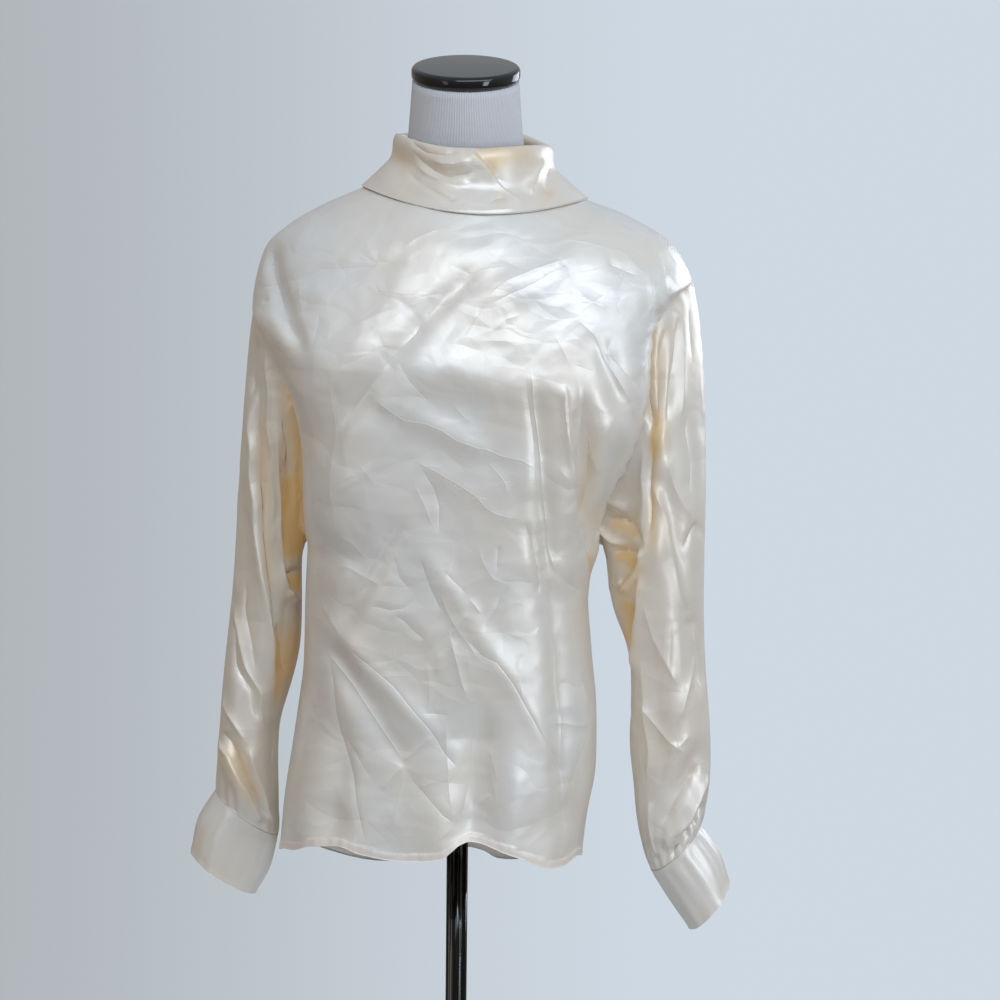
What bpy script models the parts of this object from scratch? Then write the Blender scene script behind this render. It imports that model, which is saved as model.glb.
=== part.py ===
"""A long-sleeved silk blouse with a bias turn-over collar, on a limbless dress form with a pole and base.

Origin at the centre of the base's underside, +Z up, the blouse's front towards -Y. Left and right are the
wearer's, so left is +X. The tables are in centimetres, and each sewn piece is its own closed solid.
"""

import math

import bpy
import numpy as np

CM = 0.01
WALL = 0.12  # thickness of the cloth
SEAM_GAP = 0.03  # clearance between two sewn pieces

FRONT_COLUMNS = 32  # mesh steps across each panel
BACK_COLUMNS = 24
ARMHOLE_STEPS = 10  # mesh steps down each side of an armhole
SHOULDER_STEPS = 7
SIDE_STEPS = 12
SLEEVE_STEPS = 22
CUFF_STEPS = 5
TORSO_COLUMNS = 28
TURNED_COLUMNS = 32  # mesh steps round the cap, the pole and the base
FINE = 361  # points of a curve before it is divided evenly

# v counts down the body: 0 neck seam, 5 shoulder tip, 12 underarm, 18 hem.
V_TIP, V_UNDERARM, V_HEM = 5.0, 12.0, 18.0


def table(columns, rows):
    """A table as one array per named column."""
    return {
        name: np.array([row[k] for row in rows], float)
        for k, name in enumerate(columns.split())
    }


# The line where front and back meet: shoulder seam, then each side of the armhole, then side seam.
EDGE = "v z x_front y_front x_back y_back"
LEFT_EDGE = table(
    EDGE,
    [
        (0, 138.7, 9.1, 1.5, 9.1, 1.5),
        (1, 136.9, 12.3, 1.3, 12.3, 1.3),
        (2, 135.9, 15.2, 1.2, 15.2, 1.2),
        (3, 134.5, 18.1, 1.2, 18.1, 1.2),
        (4, 132.8, 20.7, 1.1, 20.7, 1.1),
        (5, 129.2, 22.7, 0.6, 22.7, 0.6),
        (6, 127.9, 21.0, -2.8, 21.4, 3.4),
        (7, 124.2, 18.1, -6.6, 19.0, 6.6),
        (8, 118.8, 17.9, -6.2, 17.9, 8.2),
        (9, 112.9, 16.7, -4.6, 17.2, 8.0),
        (10, 107.5, 14.4, -2.0, 15.6, 5.6),
        (11, 103.8, 13.7, -0.7, 14.4, 2.8),
        (12, 102.5, 14.0, 0.5, 14.0, 0.5),
        (13, 98.0, 12.9, 0.7, 12.9, 0.7),
        (14, 92.0, 13.4, 0.7, 13.4, 0.7),
        (15, 86.0, 14.0, 0.7, 14.0, 0.7),
        (16, 80.5, 14.1, 0.7, 14.1, 0.7),
        (17, 75.5, 13.3, 0.7, 13.3, 0.7),
        (18, 70.6, 12.7, 0.7, 12.7, 0.7),
    ],
)
RIGHT_EDGE = table(
    EDGE,
    [
        (0, 139.3, -7.2, 1.5, -7.2, 1.5),
        (1, 137.9, -10.0, 1.3, -10.0, 1.3),
        (2, 136.2, -13.9, 1.2, -13.9, 1.2),
        (3, 134.2, -17.3, 1.2, -17.3, 1.2),
        (4, 131.8, -19.7, 1.2, -19.7, 1.2),
        (5, 126.6, -20.8, 1.0, -20.8, 1.0),
        (6, 125.3, -20.4, -1.9, -20.3, 3.8),
        (7, 122.0, -18.2, -5.2, -18.6, 6.6),
        (8, 117.2, -16.1, -5.4, -17.6, 8.2),
        (9, 111.9, -15.3, -4.0, -17.0, 8.0),
        (10, 107.1, -15.4, -2.4, -16.1, 5.6),
        (11, 103.7, -15.3, -0.8, -15.5, 2.8),
        (12, 102.5, -15.2, 0.6, -15.2, 0.6),
        (13, 98.0, -15.45, 0.6, -15.45, 0.6),
        (14, 92.0, -15.55, 0.6, -15.55, 0.6),
        (15, 86.0, -16.2, 0.6, -16.2, 0.6),
        (16, 80.5, -17.0, 0.6, -17.0, 0.6),
        (17, 75.5, -17.7, 0.6, -17.7, 0.6),
        (18, 71.0, -18.1, 0.6, -18.1, 0.6),
    ],
)

# How far the front hem lifts (or dips) along its width, as the folds carry it.
FRONT_HEM = table(
    "x lift",
    [
        (-18.1, 1.1),
        (-16.0, 0.8),
        (-14.2, 1.2),
        (-11.6, 1.0),
        (-8.0, -0.3),
        (-5.2, -0.4),
        (-2.6, -0.3),
        (-0.9, 0.1),
        (0.1, 1.3),
        (1.5, 1.8),
        (3.0, 1.3),
        (5.2, 0.0),
        (7.1, -0.8),
        (9.0, -1.1),
        (10.9, -0.9),
        (12.5, 0.2),
    ],
)
HEM_LIFT_START = 15.0  # the v where the lift fades out

# Each panel between its edges: y at the centre, squareness of the curve, drop of the centre below the edges.
PANEL = "v y square drop"
FRONT = table(
    PANEL,
    [
        (0, -8.2, 2.0, 1.7),
        (1, -9.5, 2.0, 2.1),
        (2, -10.3, 2.1, 2.1),
        (3, -11.1, 2.2, 1.8),
        (4, -11.8, 2.3, 1.3),
        (5, -13.0, 2.4, 0.7),
        (6, -13.25, 2.5, 0.4),
        (7, -13.9, 2.8, 0.2),
        (8, -14.1, 3.0, 0.0),
        (9, -13.9, 3.0, 0.0),
        (10, -13.6, 2.9, 0.0),
        (11, -13.4, 2.8, 0.0),
        (12, -13.3, 2.8, 0.0),
        (13, -13.1, 2.8, 0.0),
        (14, -13.0, 2.8, 0.0),
        (15, -13.0, 2.8, -0.3),
        (16, -13.1, 2.8, -1.1),
        (17, -13.3, 2.8, -2.0),
        (18, -13.5, 2.8, -3.0),
    ],
)
BACK = table(
    PANEL,
    [
        (0, 7.6, 2.0, -2.0),
        (1, 8.9, 2.0, -1.7),
        (2, 10.0, 2.1, -1.3),
        (3, 10.8, 2.2, -0.9),
        (4, 11.3, 2.3, -0.5),
        (5, 11.7, 2.4, 0.0),
        (6, 11.8, 2.4, 0.0),
        (7, 11.9, 2.5, 0.0),
        (8, 11.7, 2.5, 0.0),
        (9, 11.2, 2.5, 0.0),
        (10, 10.6, 2.5, 0.0),
        (11, 10.2, 2.5, 0.0),
        (12, 10.0, 2.5, 0.0),
        (13, 9.6, 2.5, 0.0),
        (14, 9.2, 2.5, 0.0),
        (15, 9.0, 2.5, 0.5),
        (16, 8.9, 2.5, 1.6),
        (17, 8.9, 2.5, 3.2),
        (18, 8.9, 2.5, 4.8),
    ],
)

# Each sleeve from armhole to cuff: its outer and inner lines, middle y, and depth before and behind it.
SLEEVE = "r x_out z_out x_in z_in y_mid fore aft"
LEFT_SLEEVE = table(
    SLEEVE,
    [
        (0.00, 22.7, 129.2, 14.0, 102.5, 0.5, 6.8, 7.8),
        (0.04, 23.2, 128.2, 14.9, 102.3, 0.5, 6.7, 7.8),
        (0.12, 23.7, 124.5, 15.1, 99.6, 0.5, 6.3, 7.5),
        (0.25, 24.4, 117.0, 15.7, 95.9, 0.4, 5.7, 7.0),
        (0.40, 24.7, 107.5, 17.3, 91.8, 0.3, 5.0, 6.4),
        (0.55, 24.7, 98.5, 17.7, 87.2, 0.2, 4.5, 5.9),
        (0.70, 25.1, 90.0, 17.6, 82.4, 0.1, 4.3, 5.4),
        (0.82, 25.8, 82.8, 18.2, 77.9, 0.0, 4.2, 5.0),
        (0.92, 26.0, 77.2, 18.6, 72.7, 0.0, 4.0, 4.4),
        (1.00, 24.9, 73.2, 20.1, 68.5, 0.0, 3.1, 3.2),
    ],
)
RIGHT_SLEEVE = table(
    SLEEVE,
    [
        (0.00, -20.8, 126.6, -15.2, 102.5, 0.6, 6.0, 7.6),
        (0.04, -20.95, 125.8, -16.1, 102.3, 0.9, 5.9, 7.5),
        (0.12, -21.4, 122.4, -16.3, 99.6, 1.3, 5.6, 7.2),
        (0.25, -21.9, 115.6, -16.3, 95.9, 1.6, 5.4, 6.8),
        (0.40, -22.5, 107.0, -16.4, 91.6, 1.6, 5.0, 6.3),
        (0.55, -22.95, 99.0, -17.5, 86.9, 1.3, 4.6, 5.8),
        (0.70, -23.8, 91.2, -18.7, 82.6, 0.9, 4.3, 5.4),
        (0.82, -24.4, 85.2, -18.7, 78.8, 0.6, 4.2, 5.0),
        (0.92, -24.7, 80.4, -18.5, 75.0, 0.3, 3.9, 4.4),
        (1.00, -24.9, 76.5, -18.6, 71.8, 0.1, 2.9, 3.0),
    ],
)
CUFF = "r x_out z_out x_in z_in y_mid fore aft"
LEFT_CUFF = table(
    CUFF,
    [
        (0.0, 24.9, 73.2, 20.1, 68.5, 0.0, 3.1, 3.2),
        (0.5, 27.1, 70.2, 22.2, 65.2, 0.0, 3.2, 3.2),
        (1.0, 28.2, 67.2, 24.2, 62.3, 0.0, 3.2, 3.2),
    ],
)
RIGHT_CUFF = table(
    CUFF,
    [
        (0.0, -24.9, 76.5, -18.6, 71.8, 0.1, 2.9, 3.0),
        (0.5, -26.9, 73.0, -19.5, 68.3, 0.1, 3.0, 3.0),
        (1.0, -27.5, 69.9, -21.0, 65.6, 0.1, 3.0, 3.0),
    ],
)

# The bias collar, from the neck seam up inside, over its soft fold, and down to its free edge.
COLLAR = "r x_right z_right x_left z_left y_front z_front y_back z_back y_side"
COLLAR_RINGS = table(
    COLLAR,
    [
        (0, -7.2, 139.3, 9.1, 138.7, -8.2, 137.3, 7.6, 141.0, 1.5),
        (1, -6.9, 140.7, 8.7, 139.8, -7.5, 139.1, 7.2, 142.4, 1.1),
        (2, -6.5, 142.6, 8.2, 141.6, -6.9, 141.0, 6.8, 143.8, 0.9),
        (3, -6.65, 143.2, 8.45, 142.2, -7.15, 141.6, 7.1, 144.3, 0.9),
        (4, -6.95, 142.6, 8.8, 141.6, -7.6, 141.0, 7.6, 143.8, 0.9),
        (5, -7.2, 141.0, 9.0, 140.1, -8.2, 139.3, 8.2, 142.6, 1.0),
    ],
)
COLLAR_REACH = 1.0  # the v on the body that the free edge lies over
COLLAR_LIFT = 0.24  # from the body's middle surface to the free edge's
COLLAR_BEND = 0.4  # where the last ring but one lies, as a share of the way to the free edge
COLLAR_SAG = 0.1  # how far that ring hangs below the straight line

ARMHOLE_STATIONS = [0.0, 0.035, 0.075, 0.12]  # r of a sleeve's first rings
ARMHOLE_BLEND = 0.32  # the r at which a sleeve has left the armhole's own shape
FOLD_SIDE_GAIN = 1.6  # how fast a fold reaches its full height where the cloth turns to the front
PANEL_EASE = 3  # mesh steps over which folds start from a panel's edge
SLEEVE_EASE_TOP, SLEEVE_EASE_CUFF = 4, 2
EDGE_COLUMNS = (0, -1)  # a panel's right and left edge in its grid
RIM_SPLIT = np.array([0.013, 0.031, -1.0])  # orders a rim's points; no rim edge is level along it
STEEPEST_MITRE = 0.72  # least cosine of half a seam's angle, which limits the wall's stretch there

# Broad folds as a line in the front view: its two ends, reach to each side and height (minus for a trough).
FOLD = "x0 z0 x1 z1 reach height"
FRONT_FOLDS = table(
    FOLD,
    [
        (-12.5, 122.9, -3.0, 122.6, 2.2, 0.45),
        (-3.0, 122.6, 12.0, 121.0, 2.0, 0.40),
        (12.0, 121.0, 16.0, 115.0, 1.8, 0.35),
        (1.2, 130.1, -4.5, 124.0, 1.0, -0.35),
        (-4.5, 124.0, -11.0, 115.8, 1.3, -0.45),
        (10.8, 131.2, 3.0, 127.8, 1.5, 0.35),
        (-16.0, 128.5, -6.1, 130.9, 0.9, -0.20),
        (-17.5, 132.0, -15.0, 124.0, 1.4, -0.70),
        (13.2, 123.5, 15.2, 117.5, 1.0, -0.40),
        (7.2, 119.0, 8.1, 110.0, 0.9, -0.40),
        (8.1, 110.0, 9.8, 92.0, 1.0, -0.50),
        (9.8, 92.0, 10.8, 76.0, 1.1, -0.55),
        (12.0, 112.0, 13.2, 104.5, 1.3, -0.90),
        (-7.7, 118.5, 2.2, 113.8, 1.2, 0.25),
        (-5.8, 105.8, -11.3, 95.6, 1.1, -0.35),
        (-11.3, 95.3, -2.5, 86.3, 1.1, 0.40),
        (-12.4, 94.0, -5.2, 83.8, 1.2, -0.40),
        (-3.0, 103.6, 5.4, 90.9, 1.2, 0.35),
        (5.4, 90.9, 10.1, 83.1, 1.2, 0.35),
        (1.6, 75.0, 2.6, 88.0, 1.9, -1.40),
        (-2.4, 74.0, -2.2, 85.0, 1.8, 0.35),
        (5.6, 74.0, 5.0, 84.0, 1.8, 0.35),
        (-12.0, 75.0, -11.0, 86.0, 1.8, -0.60),
        (-16.0, 74.0, -15.0, 84.0, 1.4, 0.30),
    ],
)
BACK_FOLDS = table(
    FOLD,
    [
        (-11.0, 126.0, 11.0, 126.0, 2.4, 0.30),
        (-9.0, 118.0, -11.0, 72.0, 1.8, -0.60),
        (-3.5, 112.0, -4.0, 70.0, 1.7, 0.50),
        (1.5, 114.0, 2.5, 70.0, 1.6, -0.65),
        (7.0, 112.0, 7.5, 72.0, 1.7, 0.50),
        (12.0, 118.0, 11.0, 76.0, 1.5, -0.50),
    ],
)
LEFT_SLEEVE_FOLDS = table(
    FOLD,
    [
        (17.2, 112.0, 17.0, 100.0, 1.5, -1.30),
        (19.3, 117.0, 19.2, 101.0, 1.2, 0.50),
        (19.8, 110.0, 22.0, 100.0, 1.0, -0.40),
        (22.0, 100.0, 24.2, 88.8, 1.1, -0.35),
        (24.4, 82.0, 21.0, 76.5, 1.2, -0.60),
        (23.9, 77.3, 20.6, 71.0, 1.0, 0.35),
        (19.5, 92.0, 20.4, 80.0, 1.1, -0.40),
    ],
)
RIGHT_SLEEVE_FOLDS = table(
    FOLD,
    [
        (-20.7, 117.0, -19.4, 98.0, 1.1, 0.40),
        (-19.4, 98.0, -19.0, 87.0, 1.1, 0.40),
        (-18.0, 112.0, -17.2, 99.0, 1.2, -0.70),
        (-16.6, 97.5, -18.2, 86.0, 1.1, -0.50),
        (-23.9, 81.0, -21.6, 76.5, 0.8, 0.35),
        (-22.6, 81.5, -20.6, 76.0, 0.8, -0.40),
    ],
)

# The form's torso and neck: half width, middle x, y before and behind, squareness, forward tilt in degrees.
TORSO = "z half x_mid y_front y_back square tilt"
TORSO_RINGS = table(
    TORSO,
    [
        (80.0, 11.4, 0.1, -7.8, 7.4, 2.3, 0),
        (81.0, 12.2, 0.1, -8.6, 8.0, 2.3, 0),
        (86.0, 12.6, 0.1, -9.0, 8.1, 2.3, 0),
        (93.0, 12.0, 0.1, -8.7, 7.6, 2.3, 0),
        (101.0, 11.3, 0.1, -8.4, 6.7, 2.3, 0),
        (107.0, 12.0, 0.1, -9.2, 7.2, 2.3, 0),
        (113.0, 13.3, 0.1, -11.2, 8.2, 2.4, 0),
        (118.5, 14.6, 0.2, -12.3, 9.0, 2.5, 0),
        (123.0, 15.4, 0.3, -11.4, 9.6, 2.5, 0),
        (127.5, 16.6, 0.4, -9.9, 9.4, 2.4, 0),
        (130.5, 16.9, 0.5, -8.8, 8.8, 2.3, 0),
        (132.6, 15.6, 0.5, -7.9, 7.9, 2.2, 0),
        (134.3, 13.0, 0.5, -7.1, 7.2, 2.1, 0),
        (135.8, 10.2, 0.5, -6.5, 6.7, 2.0, 0),
        (137.3, 7.9, 0.4, -6.0, 6.3, 2.0, 1),
        (139.3, 6.4, 0.3, -5.7, 5.6, 2.0, 3),
        (141.5, 5.8, 0.2, -5.9, 4.7, 2.0, 6),
        (144.0, 5.55, 0.18, -6.4, 4.0, 2.0, 10),
        (148.3, 5.2, 0.17, -6.9, 3.4, 2.0, 17),
    ],
)
CAP_CENTRE = (0.17, -2.15, 149.65)  # middle of the cap's flat top
CAP_RADIUS, CAP_THICKNESS = 5.3, 1.35
CAP_EDGE = 0.5  # radius of the cap's rounded rim
CAP_RIM_ANGLES = (-90, -55, -20, 20, 55, 90)  # round the rim, from the underside to the top
CAP_TILT = 17.0

POLE_RADIUS = 1.1
# The round base, from its underside's edge up over a low dome to the hub round the pole.
BASE = table(
    "radius height",
    [
        (15.7, 0.0),
        (16.0, 0.3),
        (16.0, 0.9),
        (15.7, 1.2),
        (8.8, 1.7),
        (2.9, 1.9),
        (2.3, 2.2),
        (2.3, 2.8),
        (2.1, 3.0),
    ],
)

# Plain colours: base colour, roughness, metallic and sheen.
SILK = ((0.86, 0.82, 0.74), 0.35, 0.0, 0.2)
JERSEY = ((0.9, 0.9, 0.9), 0.9, 0.0, 0.0)
BLACK_GLOSS = ((0.012, 0.012, 0.014), 0.12, 0.0, 0.0)
CHROME = ((0.75, 0.76, 0.78), 0.12, 1.0, 0.0)


class Cloth:
    """A piece of cloth: a grid of points in its middle surface, each with a normal and a wall stretch."""

    def __init__(self, grid, out):
        self.grid = grid
        self.out = out
        self.cut = grid.copy()  # the grid with its edges moved off the seams
        self.stretch = np.ones(grid.shape[:2])


def column(rows, name, at):
    """A table column at any place along its first column, on a smooth curve that never overshoots."""
    keys = next(iter(rows.values()))
    values = rows[name]
    step = np.diff(keys)
    slope = np.diff(values) / step
    rate = np.zeros(len(keys))
    rate[0], rate[-1] = slope[0], slope[-1]
    same = slope[1:] * slope[:-1] > 0
    wide, narrow = 2 * step[1:] + step[:-1], step[1:] + 2 * step[:-1]
    with np.errstate(divide="ignore", invalid="ignore"):
        mean = (wide + narrow) / (wide / slope[:-1] + narrow / slope[1:])
    rate[1:-1] = np.where(same, mean, 0.0)
    at = np.asarray(at, float)
    k = np.clip(np.searchsorted(keys, at, side="right") - 1, 0, len(step) - 1)
    h = step[k]
    u = np.clip((at - keys[k]) / h, 0, 1)
    return (
        (2 * u**3 - 3 * u**2 + 1) * values[k]
        + (u**3 - 2 * u**2 + u) * h * rate[k]
        + (3 * u**2 - 2 * u**3) * values[k + 1]
        + (u**3 - u**2) * h * rate[k + 1]
    )


def unit(vectors):
    length = np.linalg.norm(vectors, axis=-1, keepdims=True)
    return vectors / np.maximum(length, 1e-9)


def powered(values, power):
    """Each value's size raised to a power, with its sign kept."""
    return np.sign(values) * np.abs(values) ** power


def spaced(points, count):
    """count + 1 points evenly spaced along a polyline."""
    lengths = np.linalg.norm(np.diff(points, axis=0), axis=1)
    along = np.concatenate([[0], np.cumsum(lengths)])
    at = np.linspace(0, along[-1], count + 1)
    return np.stack([np.interp(at, along, points[:, k]) for k in range(3)], axis=1)


def hem_lift(x, v):
    """The lift of the front's lower rows, which is zero at the side seams."""
    fade = np.clip((v - HEM_LIFT_START) / (V_HEM - HEM_LIFT_START), 0, 1) ** 1.6
    right, left = RIGHT_EDGE["x_front"][-1], LEFT_EDGE["x_front"][-1]
    inside = np.clip(np.minimum(x - right, left - x), 0, 1)
    return column(FRONT_HEM, "lift", x) * fade * inside


def panel_row(v, panel, side, count):
    """One row across a panel, from the wearer's right to the left."""
    angle = np.linspace(math.pi, 0, FINE)
    power = 2 / column(panel, "square", v)
    share = (powered(np.cos(angle), power) + 1) / 2
    bulge = np.abs(np.sin(angle)) ** power
    x0, x1 = column(RIGHT_EDGE, "x_" + side, v), column(LEFT_EDGE, "x_" + side, v)
    y0, y1 = column(RIGHT_EDGE, "y_" + side, v), column(LEFT_EDGE, "y_" + side, v)
    z0, z1 = column(RIGHT_EDGE, "z", v), column(LEFT_EDGE, "z", v)
    x = x0 + (x1 - x0) * share
    y_edge = y0 + (y1 - y0) * share
    y = y_edge + (column(panel, "y", v) - y_edge) * bulge
    z = z0 + (z1 - z0) * share - column(panel, "drop", v) * bulge**2
    row = spaced(np.stack([x, y, z], axis=1), count)
    if side == "front":
        row[:, 2] += hem_lift(row[:, 0], v)
    return row


def front_row(v):
    return panel_row(v, FRONT, "front", FRONT_COLUMNS)


def back_row(v):
    return panel_row(v, BACK, "back", BACK_COLUMNS)


def closed_loop(front, back):
    """The ring of a front row and a back row, from the right side over the front and round the back."""
    return np.concatenate([front, back[::-1][1:-1]])


def body_rows():
    """The v of each mesh row down the body."""
    shoulder = np.linspace(0, V_TIP, SHOULDER_STEPS + 1)[:-1]
    armhole = np.linspace(V_TIP, V_UNDERARM, ARMHOLE_STEPS + 1)
    side = np.linspace(V_UNDERARM, V_HEM, SIDE_STEPS + 1)[1:]
    return np.concatenate([shoulder, armhole, side])


def normals(points, toward, around=False):
    """Unit normals of a grid, rows going down and columns across, facing toward on the whole."""
    if around:
        across = np.roll(points, -1, axis=1) - np.roll(points, 1, axis=1)
    else:
        across = np.gradient(points, axis=1)
    out = unit(np.cross(np.gradient(points, axis=0), across))
    return out * (-1 if (out * toward).sum() < 0 else 1)


def folded(points, out, folds, facing):
    """The grid moved along its normals by each fold, on the side whose normals face along facing times Y."""
    x, z = points[..., 0], points[..., 2]
    height = np.zeros(x.shape)
    for x0, z0, x1, z1, reach, rise in zip(*folds.values()):
        run = (x1 - x0) ** 2 + (z1 - z0) ** 2
        along = ((x - x0) * (x1 - x0) + (z - z0) * (z1 - z0)) / run
        near = np.clip(along, 0, 1)
        away = np.hypot(x - x0 - near * (x1 - x0), z - z0 - near * (z1 - z0))
        height += rise * np.exp(-((away / reach) ** 2))
    turned_to = np.clip(out[..., 1] * facing * FOLD_SIDE_GAIN, 0, 1)
    return points + out * (height * turned_to)[..., None]


def eased(changed, plain, side, first, last):
    """The changed grid brought back to the plain one over a number of steps in from each edge."""
    n_rows, n_columns = plain.shape[:2]
    i = np.arange(n_rows)[:, None]
    j = np.arange(n_columns)[None, :]
    keep = np.ones((n_rows, n_columns))
    if side:
        keep = np.minimum(keep, np.minimum(j, n_columns - 1 - j) / side)
    keep = np.minimum(keep, i / first)
    if last:
        keep = np.minimum(keep, (n_rows - 1 - i) / last)
    return plain + (changed - plain) * keep[..., None]


def sleeve_ring(rows, r, angles):
    """A ring round a sleeve: angle 0 is its outer line, 90 degrees its front, 180 its inner line."""
    x0, z0 = column(rows, "x_out", r), column(rows, "z_out", r)
    x1, z1 = column(rows, "x_in", r), column(rows, "z_in", r)
    sin = np.sin(angles)
    share = (1 - np.cos(angles)) / 2
    depth = -np.where(sin > 0, column(rows, "fore", r), column(rows, "aft", r)) * sin
    y = column(rows, "y_mid", r) + depth
    return np.stack([x0 + (x1 - x0) * share, y, z0 + (z1 - z0) * share], axis=1)


def angles_round(count):
    return np.linspace(0, 2 * math.pi, count, endpoint=False)


def sleeve_grid(rows, loop):
    """Rings from the armhole's own loop down to the cuff seam."""
    angles = angles_round(len(loop))
    start = loop - sleeve_ring(rows, 0.0, angles)
    after = np.linspace(ARMHOLE_STATIONS[-1], 1, SLEEVE_STEPS - 2)[1:]
    rings = []
    for r in [*ARMHOLE_STATIONS, *after]:
        blend = max(0.0, 1 - r / ARMHOLE_BLEND) ** 2
        rings.append(sleeve_ring(rows, r, angles) + start * blend)
    return np.stack(rings)


def collar_ring(row, start, end, count):
    """Part of a collar ring, through its right, front, left and back points."""
    angles = np.linspace(start, end, FINE)
    sin = np.sin(angles)
    deep = np.abs(sin)
    share = (np.cos(angles) + 1) / 2
    z_side = row["z_right"] + (row["z_left"] - row["z_right"]) * share
    y_far = np.where(sin > 0, row["y_front"], row["y_back"])
    z_far = np.where(sin > 0, row["z_front"], row["z_back"])
    x = row["x_right"] + (row["x_left"] - row["x_right"]) * share
    y = row["y_side"] + (y_far - row["y_side"]) * deep
    z = z_side + (z_far - z_side) * deep**2
    return spaced(np.stack([x, y, z], axis=1), count)


def collar_grid():
    """Collar rings with one point for each column of the front and back neck edges."""
    rings = []
    for k in range(len(COLLAR_RINGS["r"])):
        row = {name: values[k] for name, values in COLLAR_RINGS.items()}
        front = collar_ring(row, math.pi, 0, FRONT_COLUMNS)
        back = collar_ring(row, math.pi, 2 * math.pi, BACK_COLUMNS)
        rings.append(closed_loop(front, back))
    below = closed_loop(front_row(COLLAR_REACH), back_row(COLLAR_REACH))
    lower = closed_loop(front_row(COLLAR_REACH + 0.1), back_row(COLLAR_REACH + 0.1))
    along = np.roll(below, -1, axis=0) - np.roll(below, 1, axis=0)
    up = unit(np.cross(lower - below, along))
    up *= np.where(up[:, 2:] < 0, -1, 1)
    edge = below + up * COLLAR_LIFT
    rings.append(rings[-1] * (1 - COLLAR_BEND) + edge * COLLAR_BEND - up * COLLAR_SAG)
    rings.append(edge)
    return np.stack(rings)


def mitre(points, after, before, outward):
    """At a loop of seam points: the direction across the seam, the shared normal and its stretch."""
    tangent = unit(np.roll(points, -1, axis=0) - np.roll(points, 1, axis=0))

    def square_to(vectors):
        return unit(vectors - tangent * (vectors * tangent).sum(1, keepdims=True))

    leaving = square_to(after - points)
    arriving = square_to(points - before)
    across = unit(leaving + arriving)
    facing = unit(np.cross(tangent, across))
    facing *= np.where((facing * outward).sum(1, keepdims=True) < 0, -1, 1)
    cosine = np.clip((across * arriving).sum(1), STEEPEST_MITRE, 1)
    return across, facing, 1 / cosine


def body_panels():
    """Front and back, folded, with the same points along the shoulder and side seams."""
    front = np.stack([front_row(v) for v in body_rows()])
    back = np.stack([back_row(v) for v in body_rows()])
    seams = seam_rows()
    for j in EDGE_COLUMNS:
        front[seams, j] = back[seams, j] = (front[seams, j] + back[seams, j]) / 2
    panels = []
    for grid, folds, facing in ((front, FRONT_FOLDS, -1), (back, BACK_FOLDS, 1)):
        toward = np.array([0.0, facing, 0.0])
        shaped = folded(grid, normals(grid, toward), folds, facing)
        shaped = eased(shaped, grid, PANEL_EASE, PANEL_EASE, 0)
        panels.append(Cloth(shaped, normals(shaped, toward)))
    return panels


def seam_rows():
    """The rows at which front and back are sewn to each other."""
    armhole = range(SHOULDER_STEPS + 1, SHOULDER_STEPS + ARMHOLE_STEPS)
    return [i for i in range(len(body_rows())) if i not in armhole]


def join_panels(front, back):
    """The shoulder and side seams: one normal for both panels, and half the gap taken from each."""
    seams = seam_rows()
    for j, inside in ((0, 1), (-1, -2)):
        shared = unit(front.out[seams, j] + back.out[seams, j])
        front.out[seams, j] = back.out[seams, j] = shared
        for panel in (front, back):
            inward = unit(panel.grid[seams, inside] - panel.grid[seams, j])
            inward = unit(inward - shared * (inward * shared).sum(1, keepdims=True))
            panel.cut[seams, j] += inward * SEAM_GAP / 2


def join_sleeve(front, back, j, inside, rows):
    """An armhole seam at edge column j: the sleeve's piece, cut to meet both panels."""
    tip, under = SHOULDER_STEPS, SHOULDER_STEPS + ARMHOLE_STEPS
    down = list(range(tip, under + 1))
    up = list(range(under - 1, tip, -1))
    loop = np.concatenate([front.grid[down, j], back.grid[up, j]])
    grid = sleeve_grid(rows, loop)
    before = np.concatenate([front.grid[down, inside], back.grid[up, inside]])
    before[0] = front.grid[tip - 1, j]
    before[len(down) - 1] = front.grid[under + 1, j]
    outward = np.concatenate([front.out[down, j], back.out[up, j]])
    across, facing, stretch = mitre(loop, grid[1], before, outward)

    def fit(panel, i, k):
        panel.out[i, j] = facing[k]
        panel.stretch[i, j] = stretch[k]
        panel.cut[i, j] = panel.grid[i, j] - across[k] * SEAM_GAP / 2

    for k, i in enumerate(down):
        fit(front, i, k)
    for k, i in enumerate(up, len(down)):
        fit(back, i, k)
    for i, k in ((tip, 0), (under, len(down) - 1)):
        fit(back, i, k)
        back.cut[i, j, 1] += SEAM_GAP / 2
        front.cut[i, j, 1] -= SEAM_GAP / 2
    toward = grid - grid.mean(axis=1, keepdims=True)
    sleeve = Cloth(grid, normals(grid, toward, around=True))
    return sleeve, (across, facing, stretch)


def join_collar(front, back):
    """The neck seam: the collar's piece, cut to meet both panels."""
    grid = collar_grid()
    grid[0] = closed_loop(front.grid[0], back.grid[0])
    before = closed_loop(front.grid[1], back.grid[1])
    outward = closed_loop(front.out[0], back.out[0])
    across, facing, stretch = mitre(grid[0], grid[1], before, outward)
    n = FRONT_COLUMNS + 1
    round_front = np.arange(n)
    round_back = np.concatenate([[0], np.arange(len(grid[0]) - 1, n - 1, -1), [n - 1]])
    for panel, along in ((front, round_front), (back, round_back)):
        panel.cut[0] -= across[along] * SEAM_GAP / 2
        panel.out[0] = facing[along]
        panel.stretch[0] = stretch[along]
    toward = np.zeros(grid.shape)
    toward[1] = grid[1] - grid[1].mean(axis=0)
    collar = Cloth(grid, normals(grid, toward, around=True))
    collar.out[0], collar.stretch[0] = facing, stretch
    collar.cut[0] += across * SEAM_GAP / 2
    return collar


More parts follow.
